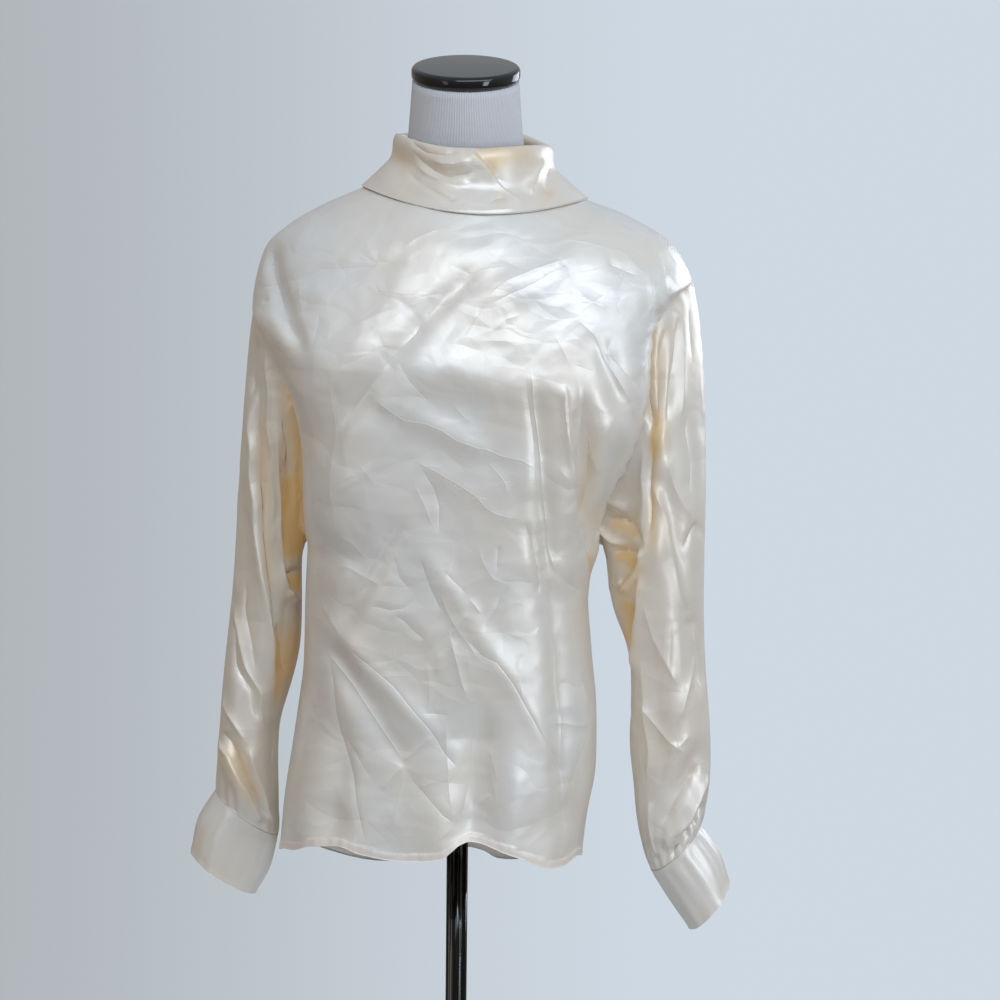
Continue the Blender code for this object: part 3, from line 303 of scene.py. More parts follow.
# Pressed creases: points down a line, rise in mm (minus for a valley), reach to each side, end fade.
FRONT_CREASES = [
    ([(-18.9, 132), (-18.5, 129.6), (-17.6, 127.1), (-16.3, 124.5), (-15, 122.9)], -2, 0.6, 1.3, 0.15),
    ([(-18.5, 128.6), (-19.4, 128.1)], -0.8, 0.4, 0.4, 0.2),
    ([(-18.7, 127.3), (-19.3, 126.8)], -0.8, 0.4, 0.4, 0.2),
    ([(-16.4, 128.1), (-15.1, 129), (-13.4, 130), (-11.2, 130.2), (-8.8, 130.7), (-5.9, 130.9),
      (-3.7, 130.7)], -0.7, 0.5, 0.9, 0.25),
    ([(-16.4, 126.6), (-15.5, 127.7), (-14.3, 128.6)], 0.7, 0.6, 0.5, 0.3),
    ([(-13.1, 126.5), (-13.3, 124.8), (-13.9, 122.5)], -0.5, 0.5, 0.8, 0.3),
    ([(-10.3, 124.8), (-8, 125.7), (-5.9, 126.6), (-4.9, 127.2)], 0.6, 0.7, 0.9, 0.25),
    ([(-8.4, 128.4), (-5.1, 128), (-2.4, 128)], 0.5, 0.9, 0.5, 0.3),
    ([(-5.6, 132), (-3.7, 133.1), (-1.5, 134)], 0.5, 0.8, 0.8, 0.3),
    ([(-0.5, 129.5), (-2.2, 127.1), (-3.6, 125.2), (-4.1, 124.2), (-5.7, 122.5), (-7.2, 120.9),
      (-8.7, 118.6), (-10.2, 116.6), (-11.2, 115.1)], -1, 1.6, 1, 0.12),
    ([(1.8, 127), (0.9, 125), (-0.1, 122.6)], 0.5, 0.9, 0.7, 0.25),
    ([(-5.7, 121.9), (-4.5, 120), (-3.3, 118.8), (-2.7, 118)], -0.5, 0.5, 1.1, 0.2),
    ([(-7.9, 118.3), (-6.4, 117.3), (-5, 116.4), (-3, 116), (-1.5, 115.3), (-0.1, 114.4),
      (1.9, 113.8)], 0.8, 1.2, 0.8, 0.15),
    ([(-0.1, 114.5), (1.9, 113.8), (2.6, 113.8), (4.2, 113.1), (6.2, 112.6), (7.4, 111.8)], 0.7, 1, 0.8,
      0.15),
    ([(-0.5, 118), (0.7, 116.7), (1.6, 116.1)], 0.4, 0.6, 0.6, 0.3),
    ([(-13.7, 120.5), (-14.6, 119), (-14.9, 117.1), (-15.8, 112.2), (-15.8, 104.8), (-15.8, 96.3),
      (-15.6, 89)], 0.5, 0.4, 0.6, 0.15),
    ([(-11.9, 121.2), (-11.9, 117.3), (-11.7, 114.3), (-11.9, 109.3), (-11.6, 105.6)], 0.5, 1.3, 1.5, 0.25),
    ([(10.8, 131.6), (7.1, 130.4), (3.9, 128.8), (2.5, 127.4)], 0.7, 0.9, 0.7, 0.15),
    ([(11.1, 131.4), (8, 129.8), (5.8, 128.4), (2.9, 127)], -0.6, 0.5, 0.9, 0.15),
    ([(9.8, 133.1), (11.6, 132.7), (13.6, 132.2), (15.3, 131.9), (16.4, 131)], 0.8, 0.8, 0.9, 0.2),
    ([(13.6, 131), (15, 130.5), (16.8, 129.8)], -1.2, 0.5, 0.6, 0.25),
    ([(15.3, 131.9), (17.1, 130.2), (18.5, 129.7), (19.4, 128.5)], 0.7, 1, 1, 0.2),
    ([(17.8, 130.2), (18.1, 128.5), (18, 125.9)], 0.9, 0.4, 0.5, 0.3),
    ([(19.4, 129.8), (19.8, 128.2)], 0.9, 0.4, 0.4, 0.3),
    ([(18.6, 129.2), (18.5, 127.2)], -0.9, 0.4, 0.4, 0.3),
    ([(8.8, 124.3), (9.6, 123), (10.4, 121.6)], 0.5, 0.6, 0.8, 0.3),
    ([(10.7, 126), (12.5, 124.3), (13, 123.3), (13.7, 122), (15.1, 119.9), (16.3, 117.9)], 0.8, 0.8,
      0.7, 0.2),
    ([(13, 124.1), (13.6, 122.5), (14.6, 120.7), (15.3, 119.6), (16.3, 117.7), (16.7, 115.9)], 0.7, 0.5,
      0.9, 0.2),
    ([(13.6, 122.8), (15.3, 121.1), (17.2, 119)], -0.8, 0.7, 0.8, 0.25),
    ([(10.5, 121.7), (11.7, 121.3), (12.8, 120.9)], -0.6, 0.5, 0.5, 0.3),
    ([(11.3, 128.1), (12.5, 127.3), (13.8, 126.8)], 0.6, 0.7, 0.6, 0.3),
    ([(7.1, 128.1), (9.4, 128.2), (11.3, 128.1)], 0.3, 0.6, 0.6, 0.3),
    ([(3.1, 124.7), (4.4, 125.8), (5.8, 126.2)], 0.5, 0.7, 0.6, 0.3),
    ([(2.6, 127.4), (1.5, 125.6), (0.5, 124), (-0.2, 122.6)], -0.5, 0.7, 0.7, 0.25),
    ([(0, 129.1), (1.1, 129.9), (2.2, 130.1), (5.1, 130.6)], 0.4, 0.6, 0.6, 0.3),
    ([(1.6, 132.9), (3.1, 131.5), (3.7, 130.8)], 0.4, 0.7, 0.7, 0.3),
    ([(1.6, 123.7), (3.8, 123.8), (6.2, 123.8)], 0.4, 0.5, 0.8, 0.3),
    ([(-2.4, 127.3), (0.7, 127.3), (2.3, 127.5)], 0.5, 0.5, 0.6, 0.3),
    ([(6.5, 121.5), (6.9, 119.3), (7.3, 116.1), (7.5, 113.5), (7.8, 111.5), (8.1, 109.5), (8.3, 107.1),
      (8.7, 104.3), (9.5, 101.8), (9.7, 101.2)], 0.9, 0.5, 1.2, 0.08),
    ([(6.1, 120.9), (6.7, 117.4), (7, 113.6), (7.5, 109.8), (7.8, 105.8)], -0.6, 1, 0.6, 0.2),
    ([(9.8, 120), (9.8, 117.7), (10.1, 115.5), (10.6, 112.8), (11.2, 109.7)], 1.2, 1.2, 0.5, 0.12),
    ([(11, 120.5), (11.2, 119.3), (10.8, 116.9), (10.5, 114.4)], 0.7, 0.4, 0.5, 0.25),
    ([(11.6, 119.7), (11.5, 116.4), (11.5, 112.6), (11.9, 108.6), (12.3, 104.4)], -1.6, 0.8, 1.6, 0.15),
    ([(8.1, 111.2), (9.7, 110.2), (10.7, 109.4)], -0.5, 0.5, 0.5, 0.25),
    ([(9.2, 112), (10.6, 110.4)], 0.4, 0.4, 0.4, 0.3),
    ([(11.7, 113.6), (12.8, 112.4), (13.7, 110.6)], 1, 0.5, 0.6, 0.3),
    ([(8.5, 101.7), (8.7, 99), (9.1, 96.2), (9.5, 93.7), (9.8, 90.5), (10.3, 87.4), (10.5, 82.2),
      (11, 76.6), (11.1, 73.6)], 0.7, 0.6, 0.9, 0.06),
    ([(9.5, 101.2), (10.2, 98.8), (11, 96.5), (11.4, 94.2)], 0.6, 0.6, 0.7, 0.25),
    ([(9.7, 101.8), (10.4, 100.3), (12.1, 98.9)], -0.5, 0.5, 0.5, 0.3),
    ([(-4.3, 112.5), (-2, 111.4), (-0.1, 110.4), (1.8, 109.2), (2.7, 108.1), (3.6, 107.5), (5.8, 106.9)],
      0.7, 0.7, 1.0, 0.12),
    ([(-3.7, 112.1), (-2.4, 109.8), (-1.8, 107.9), (-1.6, 105.4)], -0.8, 0.8, 0.7, 0.2),
    ([(-4.3, 110.4), (-3.1, 108.3), (-2, 105.8)], 0.6, 1, 0.5, 0.25),
    ([(-1.8, 110.6), (-0.7, 109.7), (0.4, 109.1)], 0.3, 0.4, 0.4, 0.3),
    ([(2.6, 112.5), (3.9, 111.1), (4.5, 110.2), (4.6, 109)], 0.6, 0.8, 0.7, 0.25),
    ([(-5.4, 106.4), (-6.6, 104.8), (-7.3, 103.9), (-7.9, 102.7), (-8.7, 101.5), (-9.3, 100.3),
      (-10.3, 98.6)], 0.9, 0.8, 0.6, 0.15),
    ([(-5.9, 106.1), (-6.9, 105.1), (-7.5, 104.2)], -0.3, 0.4, 0.3, 0.35),
    ([(-11.5, 105), (-10.1, 104.4), (-9.3, 103.3), (-8.4, 102.7)], 0.5, 0.7, 0.6, 0.25),
    ([(-11.7, 101.7), (-10.4, 101.8), (-9, 101), (-7.6, 100.4), (-7.1, 99.9)], 0.5, 0.7, 0.6, 0.2),
    ([(-8.6, 98.1), (-7.3, 98.1), (-6.3, 97.9), (-5.2, 98.1), (-4.6, 98.6), (-3.6, 99.8)], -0.7, 0.5, 0.6,
      0.25),
    ([(-6, 97.6), (-4.9, 96.9), (-3.9, 95.9), (-2.8, 95.1)], -0.8, 0.6, 0.5, 0.2),
    ([(-5.9, 103.2), (-5.5, 101.2), (-4.6, 100)], -0.6, 0.6, 0.7, 0.25),
    ([(-3.5, 103.3), (-2.7, 100.8), (-2, 99), (-1.4, 97.9)], -0.9, 0.8, 0.7, 0.2),
    ([(-1.6, 99.9), (-0.9, 97.9), (0.1, 96.1), (1.1, 94.7), (2.1, 93.1)], 0.8, 0.7, 0.9, 0.15),
    ([(-13.4, 98.3), (-12.1, 96.1), (-11, 94.6)], 0.5, 0.6, 0.6, 0.25),
    ([(-9.5, 112.2), (-8.4, 111.1), (-7.6, 109.9)], 0.4, 0.7, 0.6, 0.3),
    ([(-1.6, 102.2), (-0.3, 100.9), (1.1, 99.5)], -0.5, 0.7, 0.6, 0.25),
    ([(-5.2, 105.8), (-4.7, 104.8), (-4.1, 105.4)], 0.25, 0.5, 0.5, 0.3),
    ([(6.3, 106.8), (6.9, 105.2), (7.3, 103.3), (7.7, 101.2), (8, 99.1)], -1.2, 0.7, 0.8, 0.15),
    ([(7.1, 106.9), (7.5, 105), (8, 102.9)], 0.6, 0.4, 0.5, 0.3),
    ([(5.2, 100.8), (4.1, 99.3), (3.2, 97.2), (2.4, 95.8)], -1, 0.5, 0.7, 0.18),
    ([(1.2, 98), (0.1, 96.6), (-0.6, 95.3)], 0.8, 0.5, 0.5, 0.2),
    ([(1.1, 99.3), (1.6, 98.7), (2.3, 97.8)], 0.7, 0.5, 0.5, 0.3),
    ([(3.7, 104.5), (3.8, 103.2), (3.9, 101.8)], -0.6, 0.5, 0.5, 0.25),
    ([(2, 104.5), (2.5, 103), (3.6, 101.2), (5, 100.7)], 0.5, 0.7, 0.6, 0.25),
    ([(-10.6, 94.1), (-8.5, 92.7), (-6, 90.6), (-4, 88.1), (-2.3, 86.1), (-1.1, 84), (0.3, 82.4)],
      -0.9, 1.4, 0.8, 0.1),
    ([(-12.8, 93.2), (-11.4, 91.7), (-9.9, 90.1), (-8.2, 87.7), (-6.4, 85.2), (-5, 83.4)], 0.9, 0.8, 1.4,
      0.1),
    ([(-5, 83.2), (-3.7, 84.4), (-2.2, 85.7)], 0.9, 0.5, 0.6, 0.15),
    ([(-4.9, 83), (-5.9, 81.9), (-7.2, 80.1)], 0.8, 0.6, 0.6, 0.2),
    ([(-12.5, 92.4), (-11.8, 88.6), (-11.2, 85.5), (-10.1, 81.5), (-9.2, 77.5), (-8.6, 74.8)], -0.9, 1.2,
      0.9, 0.1),
    ([(-11, 85.7), (-9.4, 83.3), (-7.8, 80.6)], -0.5, 0.9, 0.9, 0.25),
    ([(-4.3, 81.7), (-2.7, 79.9), (-1.2, 78), (-0, 77)], -0.7, 0.7, 0.6, 0.2),
    ([(-4.7, 82.8), (-5.3, 79.9), (-5.7, 78), (-6.1, 76.3)], 0.6, 0.9, 0.6, 0.2),
    ([(-2.8, 93.3), (-2.6, 91.1), (-2.5, 88.1)], 0.6, 0.6, 0.5, 0.2),
    ([(-1.2, 94.2), (-1.6, 92.9), (-1.9, 91.7)], 0.5, 0.4, 0.5, 0.3),
    ([(-3.3, 87.9), (-2.1, 87.9), (-0.6, 87.8)], -0.6, 0.4, 0.5, 0.25),
    ([(-0.9, 96.4), (-0.6, 95.2), (0.3, 92.6), (1.1, 89.5)], 1.1, 0.6, 0.7, 0.2),
    ([(0.5, 95.6), (2.4, 93.6), (3.7, 93), (5.1, 91.1), (6.9, 88.1), (8.4, 85.7), (10.1, 82.8),
      (10.9, 80.7)], -0.8, 1, 0.7, 0.08),
    ([(-0.9, 87.4), (-0.9, 83.6), (-0.5, 79.5), (-0.3, 77.3)], 0.6, 0.8, 0.7, 0.2),
    ([(1.9, 86.6), (1.4, 82.9), (1.1, 79.7), (0.5, 77.1)], -0.8, 1, 1.2, 0.3),
    ([(3.4, 84.5), (4, 82.3), (4.2, 80.9)], 0.5, 0.6, 0.6, 0.3),
    ([(3.6, 79.9), (3, 79.5), (2.4, 78.7)], 0.4, 0.5, 0.5, 0.3),
    ([(10.4, 93.9), (11.9, 90.6), (13.1, 87)], 0.7, 0.6, 0.6, 0.15),
    ([(8.6, 86.6), (10.5, 86.4), (12.4, 85.6), (13.4, 85.9)], 0.6, 0.5, 0.6, 0.2),
    ([(13.1, 85.1), (12.3, 82.9), (11.4, 79.8), (11.7, 78)], -0.8, 0.6, 1, 0.2),
    ([(10, 90.7), (11.1, 90.1), (12.4, 89.2)], -0.5, 0.4, 0.5, 0.3),
    ([(-12.9, 121), (-5.5, 121), (2.3, 120.2), (8.8, 119.4), (13.7, 117.6), (16.4, 114)], 0.7, 2.6,
      2.4, 0.08),
    ([(9.8, 120.3), (10.4, 114.2), (11, 110.6), (11.5, 107), (12, 103.4), (12.5, 100.2), (13.3, 95.4),
      (13.8, 92)], 2.2, 1.4, 0.25, 0.08),
    ([(10.4, 118.3), (11, 114.1), (11.5, 110.7), (12.1, 106.9), (12.6, 103.2), (13.3, 98.9),
      (13.7, 95.4)], -3, 0.25, 1.3, 0.12),
    ([(11.9, 116.4), (12.4, 113), (12.7, 109.5), (12.7, 105.7)], -2, 1.1, 1.1, 0.2),
    ([(11.7, 116), (12.6, 113.3), (13.7, 110.7)], 1, 0.6, 0.4, 0.25),
]
LEFT_SLEEVE_CREASES = [
    ([(19.8, 126.2), (18.9, 124.9), (18.5, 123), (18.3, 120.5), (18.4, 118.1), (18.6, 115.8),
      (18.5, 113.8)], -5, 0.5, 1.7, 0.2),
    ([(20.1, 125), (19.7, 122.6), (19.5, 119.2), (19.2, 115.8)], -2, 1.2, 1.2, 0.25),
    ([(21.1, 126.2), (21.1, 124.5), (20.9, 121.4), (20.5, 117.4), (20.2, 115.3)], -2.2, 0.35, 0.7, 0.2),
    ([(21.8, 127.3), (21.6, 124), (21.8, 119.6), (21.6, 114.7)], 1.3, 0.6, 1, 0.35),
    ([(22.4, 127.3), (22.5, 124.4), (22.7, 121)], -1, 0.4, 0.6, 0.3),
    ([(17.6, 113.8), (18.1, 111.6), (18.3, 108.8), (18.4, 105.8), (18.5, 103.3), (18.3, 101.5)], 2.2, 1.6,
      0.5, 0.3),
    ([(18.5, 114.8), (18.7, 111.9), (18.8, 108.8), (18.9, 105.8), (18.9, 103)], -2.8, 0.5, 1.4, 0.3),
    ([(19, 110), (19.5, 107.8), (20.1, 106.4), (21, 103.1), (21.8, 100.6), (23, 96.2)], 1.5, 0.8,
      0.9, 0.12),
    ([(19.8, 112.3), (20.6, 110.8), (21.8, 107.8), (22.8, 105.5)], 1.2, 0.8, 0.8, 0.2),
    ([(23.4, 105.6), (22.8, 104.2), (22.3, 102.7)], -1.2, 0.6, 0.8, 0.25),
    ([(22.3, 117.6), (22.3, 114.7), (22.7, 110.7), (23.2, 106.7)], -1, 0.9, 0.9, 0.25),
    ([(23.6, 123.3), (23.8, 119.4), (23.9, 114.5)], 0.9, 0.8, 0.8, 0.25),
    ([(14.3, 107.7), (15, 107.2), (15.9, 106.9), (16.8, 106.3)], 2.6, 0.9, 0.9, 0.3),
    ([(14.3, 105.2), (15.2, 105.6), (16.3, 105.5), (17.2, 104.9), (17.8, 103.9), (17.9, 102.9)], -3.2, 0.9,
      1.1, 0.3),
    ([(13.7, 105.5), (14.2, 104.1), (15.1, 103.1), (15.8, 102.9), (16.5, 103.3)], 2.6, 0.6, 0.5, 0.35),
    ([(15.1, 102), (16, 102.3), (17.1, 102.2), (17.5, 101.7)], -3, 0.6, 1.4, 0.35),
    ([(18, 103.3), (18, 101.5), (17.5, 99.9), (16.6, 98.7), (15.9, 98)], 3.5, 0.6, 0.7, 0.2),
    ([(15.4, 99), (15.9, 98.8), (16.6, 99.4)], 2.5, 0.5, 0.5, 0.3),
    ([(17.4, 98.5), (17.5, 96.4), (17.4, 93.9), (17.4, 92)], -3.4, 1, 0.5, 0.3),
    ([(18.3, 100.9), (18, 98.4), (17.9, 95.3), (17.7, 91.7), (17.8, 88.8)], 3.2, 0.35, 1.6, 0.2),
    ([(18.5, 97.6), (19.6, 93.5), (21, 90.7), (22.3, 88.4)], 1.2, 0.9, 0.9, 0.2),
    ([(23, 96.2), (24, 92.3), (24.8, 88)], -1.3, 0.8, 0.9, 0.2),
    ([(18.4, 87), (19.5, 85.2), (21.2, 83.1), (23.5, 81.2)], 1.2, 0.8, 0.9, 0.2),
    ([(24.3, 92.2), (23.1, 88.4), (21.9, 84.4)], 1, 0.8, 0.8, 0.25),
    ([(18.3, 91.2), (18.8, 87.1), (19.1, 82.5), (19.4, 77.8)], 1.5, 0.6, 0.9, 0.2),
    ([(25.5, 79.4), (24.6, 77.4), (23.4, 75.4), (21.8, 73.3), (20.9, 71.5)], 3.2, 1.2, 0.9, 0.15),
    ([(25.4, 76.6), (24.3, 74.4), (22.9, 72.4), (21.6, 70.2)], -3.5, 0.9, 0.35, 0.15),
    ([(24.5, 80.8), (23.3, 78.6), (21.7, 76.4), (20.6, 74.2)], -2.6, 1, 0.8, 0.2),
    ([(23.4, 83.8), (22, 82.5), (20.8, 81.6)], 1, 0.7, 0.7, 0.3),
    ([(19.4, 76.7), (19.9, 73.6), (20.4, 70.4)], 1.6, 0.5, 0.6, 0.2),
]
RIGHT_SLEEVE_CREASES = [
    ([(-19.9, 123.5), (-20.4, 121.7), (-20.8, 118.9), (-20.7, 117)], -2.5, 0.6, 0.8, 0.25),
    ([(-20.7, 118.9), (-20.6, 116), (-20.5, 113), (-20.2, 109.1), (-20, 105.6), (-19.7, 101.6),
      (-19.3, 98.6), (-19, 95.4), (-18.9, 92.3), (-18.9, 87.5), (-18.9, 84.5)], 2.6, 1.3, 0.45, 0.25),
    ([(-20, 120), (-20, 116.1), (-19.9, 113.1), (-19.7, 109.1), (-19.5, 105.6), (-19.2, 101.6),
      (-18.8, 98.6), (-18.5, 95.4), (-18.4, 92.2), (-18.4, 87.4), (-18.5, 84.9)], -3.2, 0.45, 1.4, 0.2),
    ([(-18, 114.3), (-18.1, 110.2), (-18, 107.2), (-17.9, 104.1), (-17.7, 101.2), (-17.5, 99.1),
      (-17, 97.3), (-16.2, 96.1)], 3.2, 1.2, 0.3, 0.2),
    ([(-17.4, 117.2), (-17.4, 113.3), (-17.4, 109.3), (-17.4, 106.1), (-17.3, 103), (-17.2, 100.7),
      (-16.9, 99), (-16.5, 97.4)], -3.2, 0.45, 1.2, 0.25),
    ([(-16.8, 119.9), (-16.2, 118.2), (-15.9, 115.8), (-15.8, 112.3), (-15.9, 107.2), (-16.2, 101.5)], -1,
      1.0, 0.5, 0.15),
    ([(-19.1, 122.5), (-18.8, 119.1), (-18.8, 114.2), (-18.8, 109.2), (-18.6, 104.1)], 1.5, 0.7, 0.7, 0.15),
    ([(-17.4, 98.9), (-16.7, 99.2), (-16.2, 99.5)], -3.5, 0.5, 0.6, 0.2),
    ([(-17.2, 97.8), (-16.6, 96.5), (-16, 95.7)], 2.5, 0.4, 0.9, 0.2),
    ([(-18, 94.8), (-17.5, 91.6), (-17.5, 88.2)], -2, 0.8, 0.8, 0.25),
    ([(-22.9, 94.9), (-22.8, 92.1), (-22.2, 89.9), (-20.8, 87.6), (-19.9, 84.3)], -2, 0.4, 0.8, 0.12),
    ([(-22.5, 96.6), (-22, 92.7), (-21.2, 90), (-20.1, 87.3), (-19.7, 83.4)], 1.6, 0.7, 0.7, 0.15),
    ([(-21.4, 99.2), (-21.5, 96.2), (-20.9, 92.3), (-20.2, 89.2)], -1, 0.6, 0.8, 0.2),
    ([(-23.9, 87.2), (-23.6, 85.9), (-22.4, 84.4), (-21.3, 82.2)], 1.3, 0.6, 0.6, 0.25),
    ([(-22.7, 109.4), (-22.2, 104.7), (-22.4, 100.6), (-22.9, 96.4)], 1, 0.8, 0.8, 0.2),
    ([(-24.5, 82.4), (-23.2, 80.8), (-22, 77.9), (-20.8, 75.7), (-19.5, 73.4)], 2.6, 0.9, 0.35, 0.12),
    ([(-24, 83.3), (-22.6, 81.3), (-21.5, 78.5), (-20.3, 76.1), (-19.2, 73.8)], -2.8, 0.3, 1.2, 0.12),
    ([(-21.3, 82.2), (-20.2, 78.9), (-19.3, 75.5), (-18.8, 72.7)], 1.4, 0.7, 0.8, 0.15),
    ([(-19, 84.6), (-18.9, 80.5), (-18.5, 76.6), (-18.4, 73.2)], -1.5, 0.7, 0.5, 0.15),
]
BACK_DROP = 2.0  # how much lower the back's creases lie than the front's
BACK_CREASES = [
    ([(-x, z - BACK_DROP) for x, z in points], rise, reach_right, reach_left, fade)
    for points, rise, reach_left, reach_right, fade in FRONT_CREASES
    if points[0][1] < 117.0
]
COLLAR_CREASES = [
    ([(-5, 142.8), (-4.6, 142), (-3.6, 141.3), (-1.5, 141), (0.1, 141.3)], -1.6, 0.5, 0.6, 0.2),
    ([(-3.4, 140.7), (-2, 140.2), (-0.7, 140), (1.1, 140.4)], 1.5, 0.5, 0.5, 0.25),
    ([(-5, 141.4), (-4.1, 140.4), (-3, 139.7), (-1.5, 139.1), (0.4, 139.2), (1.7, 139.7)], -1.8, 0.4,
      0.6, 0.2),
    ([(-4.8, 140.1), (-3.7, 139.3), (-2.5, 138.8), (-0.6, 138.2), (1, 138.5)], 1.5, 0.5, 0.5, 0.2),
    ([(-5.6, 139.6), (-4.7, 138.8), (-3.9, 138.3), (-2.5, 137.6), (-1.1, 136.9), (-0.1, 137)], -1.8, 0.4,
      0.7, 0.2),
    ([(0.3, 141.8), (1.1, 141), (2, 140), (2.9, 139), (4.2, 137.9), (5.2, 137.2), (6, 136.4)],
      1.7, 1.8, 0.4, 0.15),
    ([(0.8, 141.7), (1.7, 140.9), (2.6, 140), (3.6, 138.9), (4.8, 137.9), (5.5, 137.4)], -1, 0.25, 0.8,
      0.2),
    ([(7.7, 141), (7.5, 139.8), (7.2, 138.7), (6.7, 137.5)], 2.8, 0.8, 0.7, 0.2),
    ([(8.5, 140.8), (8.3, 139.5), (8.5, 138.1), (8.9, 137.2)], -1.8, 0.5, 0.7, 0.25),
    ([(2.6, 136.5), (3.3, 137), (4.3, 137.2)], -1, 0.5, 0.5, 0.3),
    ([(-3, 136.1), (-0.6, 135.9), (1.7, 135.7), (5.5, 135.9)], 1, 0.6, 0.3, 0.2),
]
# Where deep folds get painted golden shade and a faint painted emitted light: points down a line, strength,
# reach to each side, end fade.
FRONT_PAINTED_FOLD_LINES = [
    ([(12.2, 117.5), (12.6, 113), (12.8, 110.5), (12.8, 107.4), (13.3, 103.4)], 0.4, 0.8, 0.9, 0.4),
    ([(12.5, 103.1), (13.2, 98.7), (13.5, 95.6), (13.9, 92.4)], 0.7, 0.35, 0.6, 0.1),
]
BACK_PAINTED_FOLD_LINES = []
COLLAR_PAINTED_FOLD_LINES = [
    ([(0.9, 141.2), (2.2, 140.4), (3.3, 139)], 0.45, 0.3, 1.4, 0.2),
    ([(2.2, 141), (4.8, 141), (7.4, 141.2)], 0.40, 0.9, 1.5, 0.25),
    ([(8.1, 141.3), (8, 139.9)], 0.4, 0.5, 0.5, 0.3),
    ([(7.8, 138.3), (9, 137.2)], 0.25, 0.8, 0.8, 0.3),
    ([(3, 136.6), (4.6, 137)], 0.2, 0.7, 0.7, 0.3),
    ([(-5.9, 142.5), (-6.1, 140.5), (-5.6, 138.6)], 0.2, 1, 0.9, 0.3),
]
LEFT_SLEEVE_PAINTED_FOLD_LINES = [
    ([(19.4, 126), (19, 123.5), (18.9, 121), (19, 118.2), (19, 114.8), (18.9, 110.9)], 0.4,
      0.6, 1.3, 0.15),
    ([(18.9, 118), (18.9, 114.8), (18.8, 110.9), (18.9, 106.8), (19, 101.3)], 0.5, 0.3, 0.8, 0.2),
    ([(14.8, 104.7), (15.7, 104.9), (16.9, 104.5), (17.3, 103.5)], 0.7, 0.8, 0.8, 0.2),
    ([(15.3, 101.7), (16.2, 101.8), (17, 101.4), (16.8, 100.5)], 0.9, 0.6, 1.1, 0.2),
    ([(16.2, 97.4), (17.2, 96.3), (17.4, 94.1), (17.5, 91.8)], 1, 0.9, 0.4, 0.2),
    ([(17.9, 101.7), (17.1, 98.5), (16.4, 96.1)], 0.5, 0.9, 0.9, 0.3),
]
RIGHT_SLEEVE_PAINTED_FOLD_LINES = [
    ([(-16.5, 119.7), (-16, 117.3), (-15.8, 114.3), (-15.7, 110.3), (-15.9, 105.1), (-16.3, 100.4)], 0.8,
      1.3, 0.5, 0.08),
    ([(-16.9, 110.3), (-17, 106.1), (-16.9, 102.4), (-16.7, 99.7)], 0.6, 0.7, 0.9, 0.2),
    ([(-17.2, 98.9), (-16.6, 98.6), (-16.2, 97.1)], 0.9, 0.7, 0.7, 0.2),
    ([(-18.7, 94.9), (-18.6, 91.7), (-18.6, 87.5), (-18.6, 84.5)], 0.8, 0.3, 0.9, 0.3),
    ([(-17.6, 95.3), (-16.9, 93.5), (-16.5, 92.2), (-17.2, 89.2), (-18.2, 86.1)], 0.6, 1.4, 1.4, 0.4),
    ([(-19.7, 117.1), (-19.6, 112.1), (-19.4, 107.1), (-19.1, 102.1), (-18.9, 97)], 0.35, 0.3, 0.7, 0.15),
    ([(-24.3, 82.5), (-22.8, 80.2), (-21.6, 77.4), (-20.2, 75.2)], 0.35, 0.6, 1.6, 0.2),
]

# The dress form, and the mesh steps from one of its rings to the next.
TORSO_STEPS = 6
TORSO = "z half x_mid y_front y_back square tilt"
TORSO_RINGS = table(TORSO, [
    (80, 11.4, 0.1, -7.8, 7.4, 2.3, 0),
    (81, 12.2, 0.1, -8.6, 8, 2.3, 0),
    (86, 12.6, 0.1, -9, 8.1, 2.3, 0),
    (93, 12, 0.1, -8.7, 7.6, 2.3, 0),
    (101, 11.3, 0.1, -8.4, 6.7, 2.3, 0),
    (107, 12, 0.1, -9.2, 7.2, 2.3, 0),
    (113, 13.3, 0.1, -11.2, 8.2, 2.4, 0),
    (118.5, 14.6, 0.2, -12.3, 9, 2.5, 0),
    (123, 15.4, 0.3, -11.4, 9.6, 2.5, 0),
    (127.5, 16.6, 0.4, -9.9, 9.4, 2.4, 0),
    (130.5, 16.9, 0.5, -8.8, 8.8, 2.3, 0),
    (132.6, 15.6, 0.5, -7.9, 7.9, 2.2, 0),
    (134.3, 13, 0.5, -7.1, 7.2, 2.1, 0),
    (135.8, 10.2, 0.5, -6.5, 6.7, 2, 0),
    (137.3, 7.9, 0.4, -6, 6.3, 2, 1),
    (139.3, 6.4, 0.3, -5.7, 5.6, 2, 3),
    (141.5, 5.8, 0.2, -5.9, 4.7, 2, 6),
    (144, 5.55, 0.18, -6.4, 4, 2, 10),
    (148.3, 5.2, 0.17, -6.9, 3.4, 2, 17),
])

CAP_CENTRE = (0.17, -2.15, 149.65)  # middle of the cap's flat top
CAP_RADIUS, CAP_THICKNESS = 5.3, 1.35
CAP_EDGE = 0.5  # radius of the cap's rounded rim
CAP_TILT = 17.0  # degrees forwards
CAP_CORE = 0.2  # radius at which the flat faces are closed
POLE_RADIUS = 1.1
BASE_EDGE = 0.25  # radius of the base's rounded corners
BASE = table("radius height", [
    (15.7, 0), (16, 0.3), (16, 0.9), (15.7, 1.2), (8.8, 1.7), (2.9, 1.9), (2.3, 2.2),
    (2.3, 2.8), (2.1, 3),
])

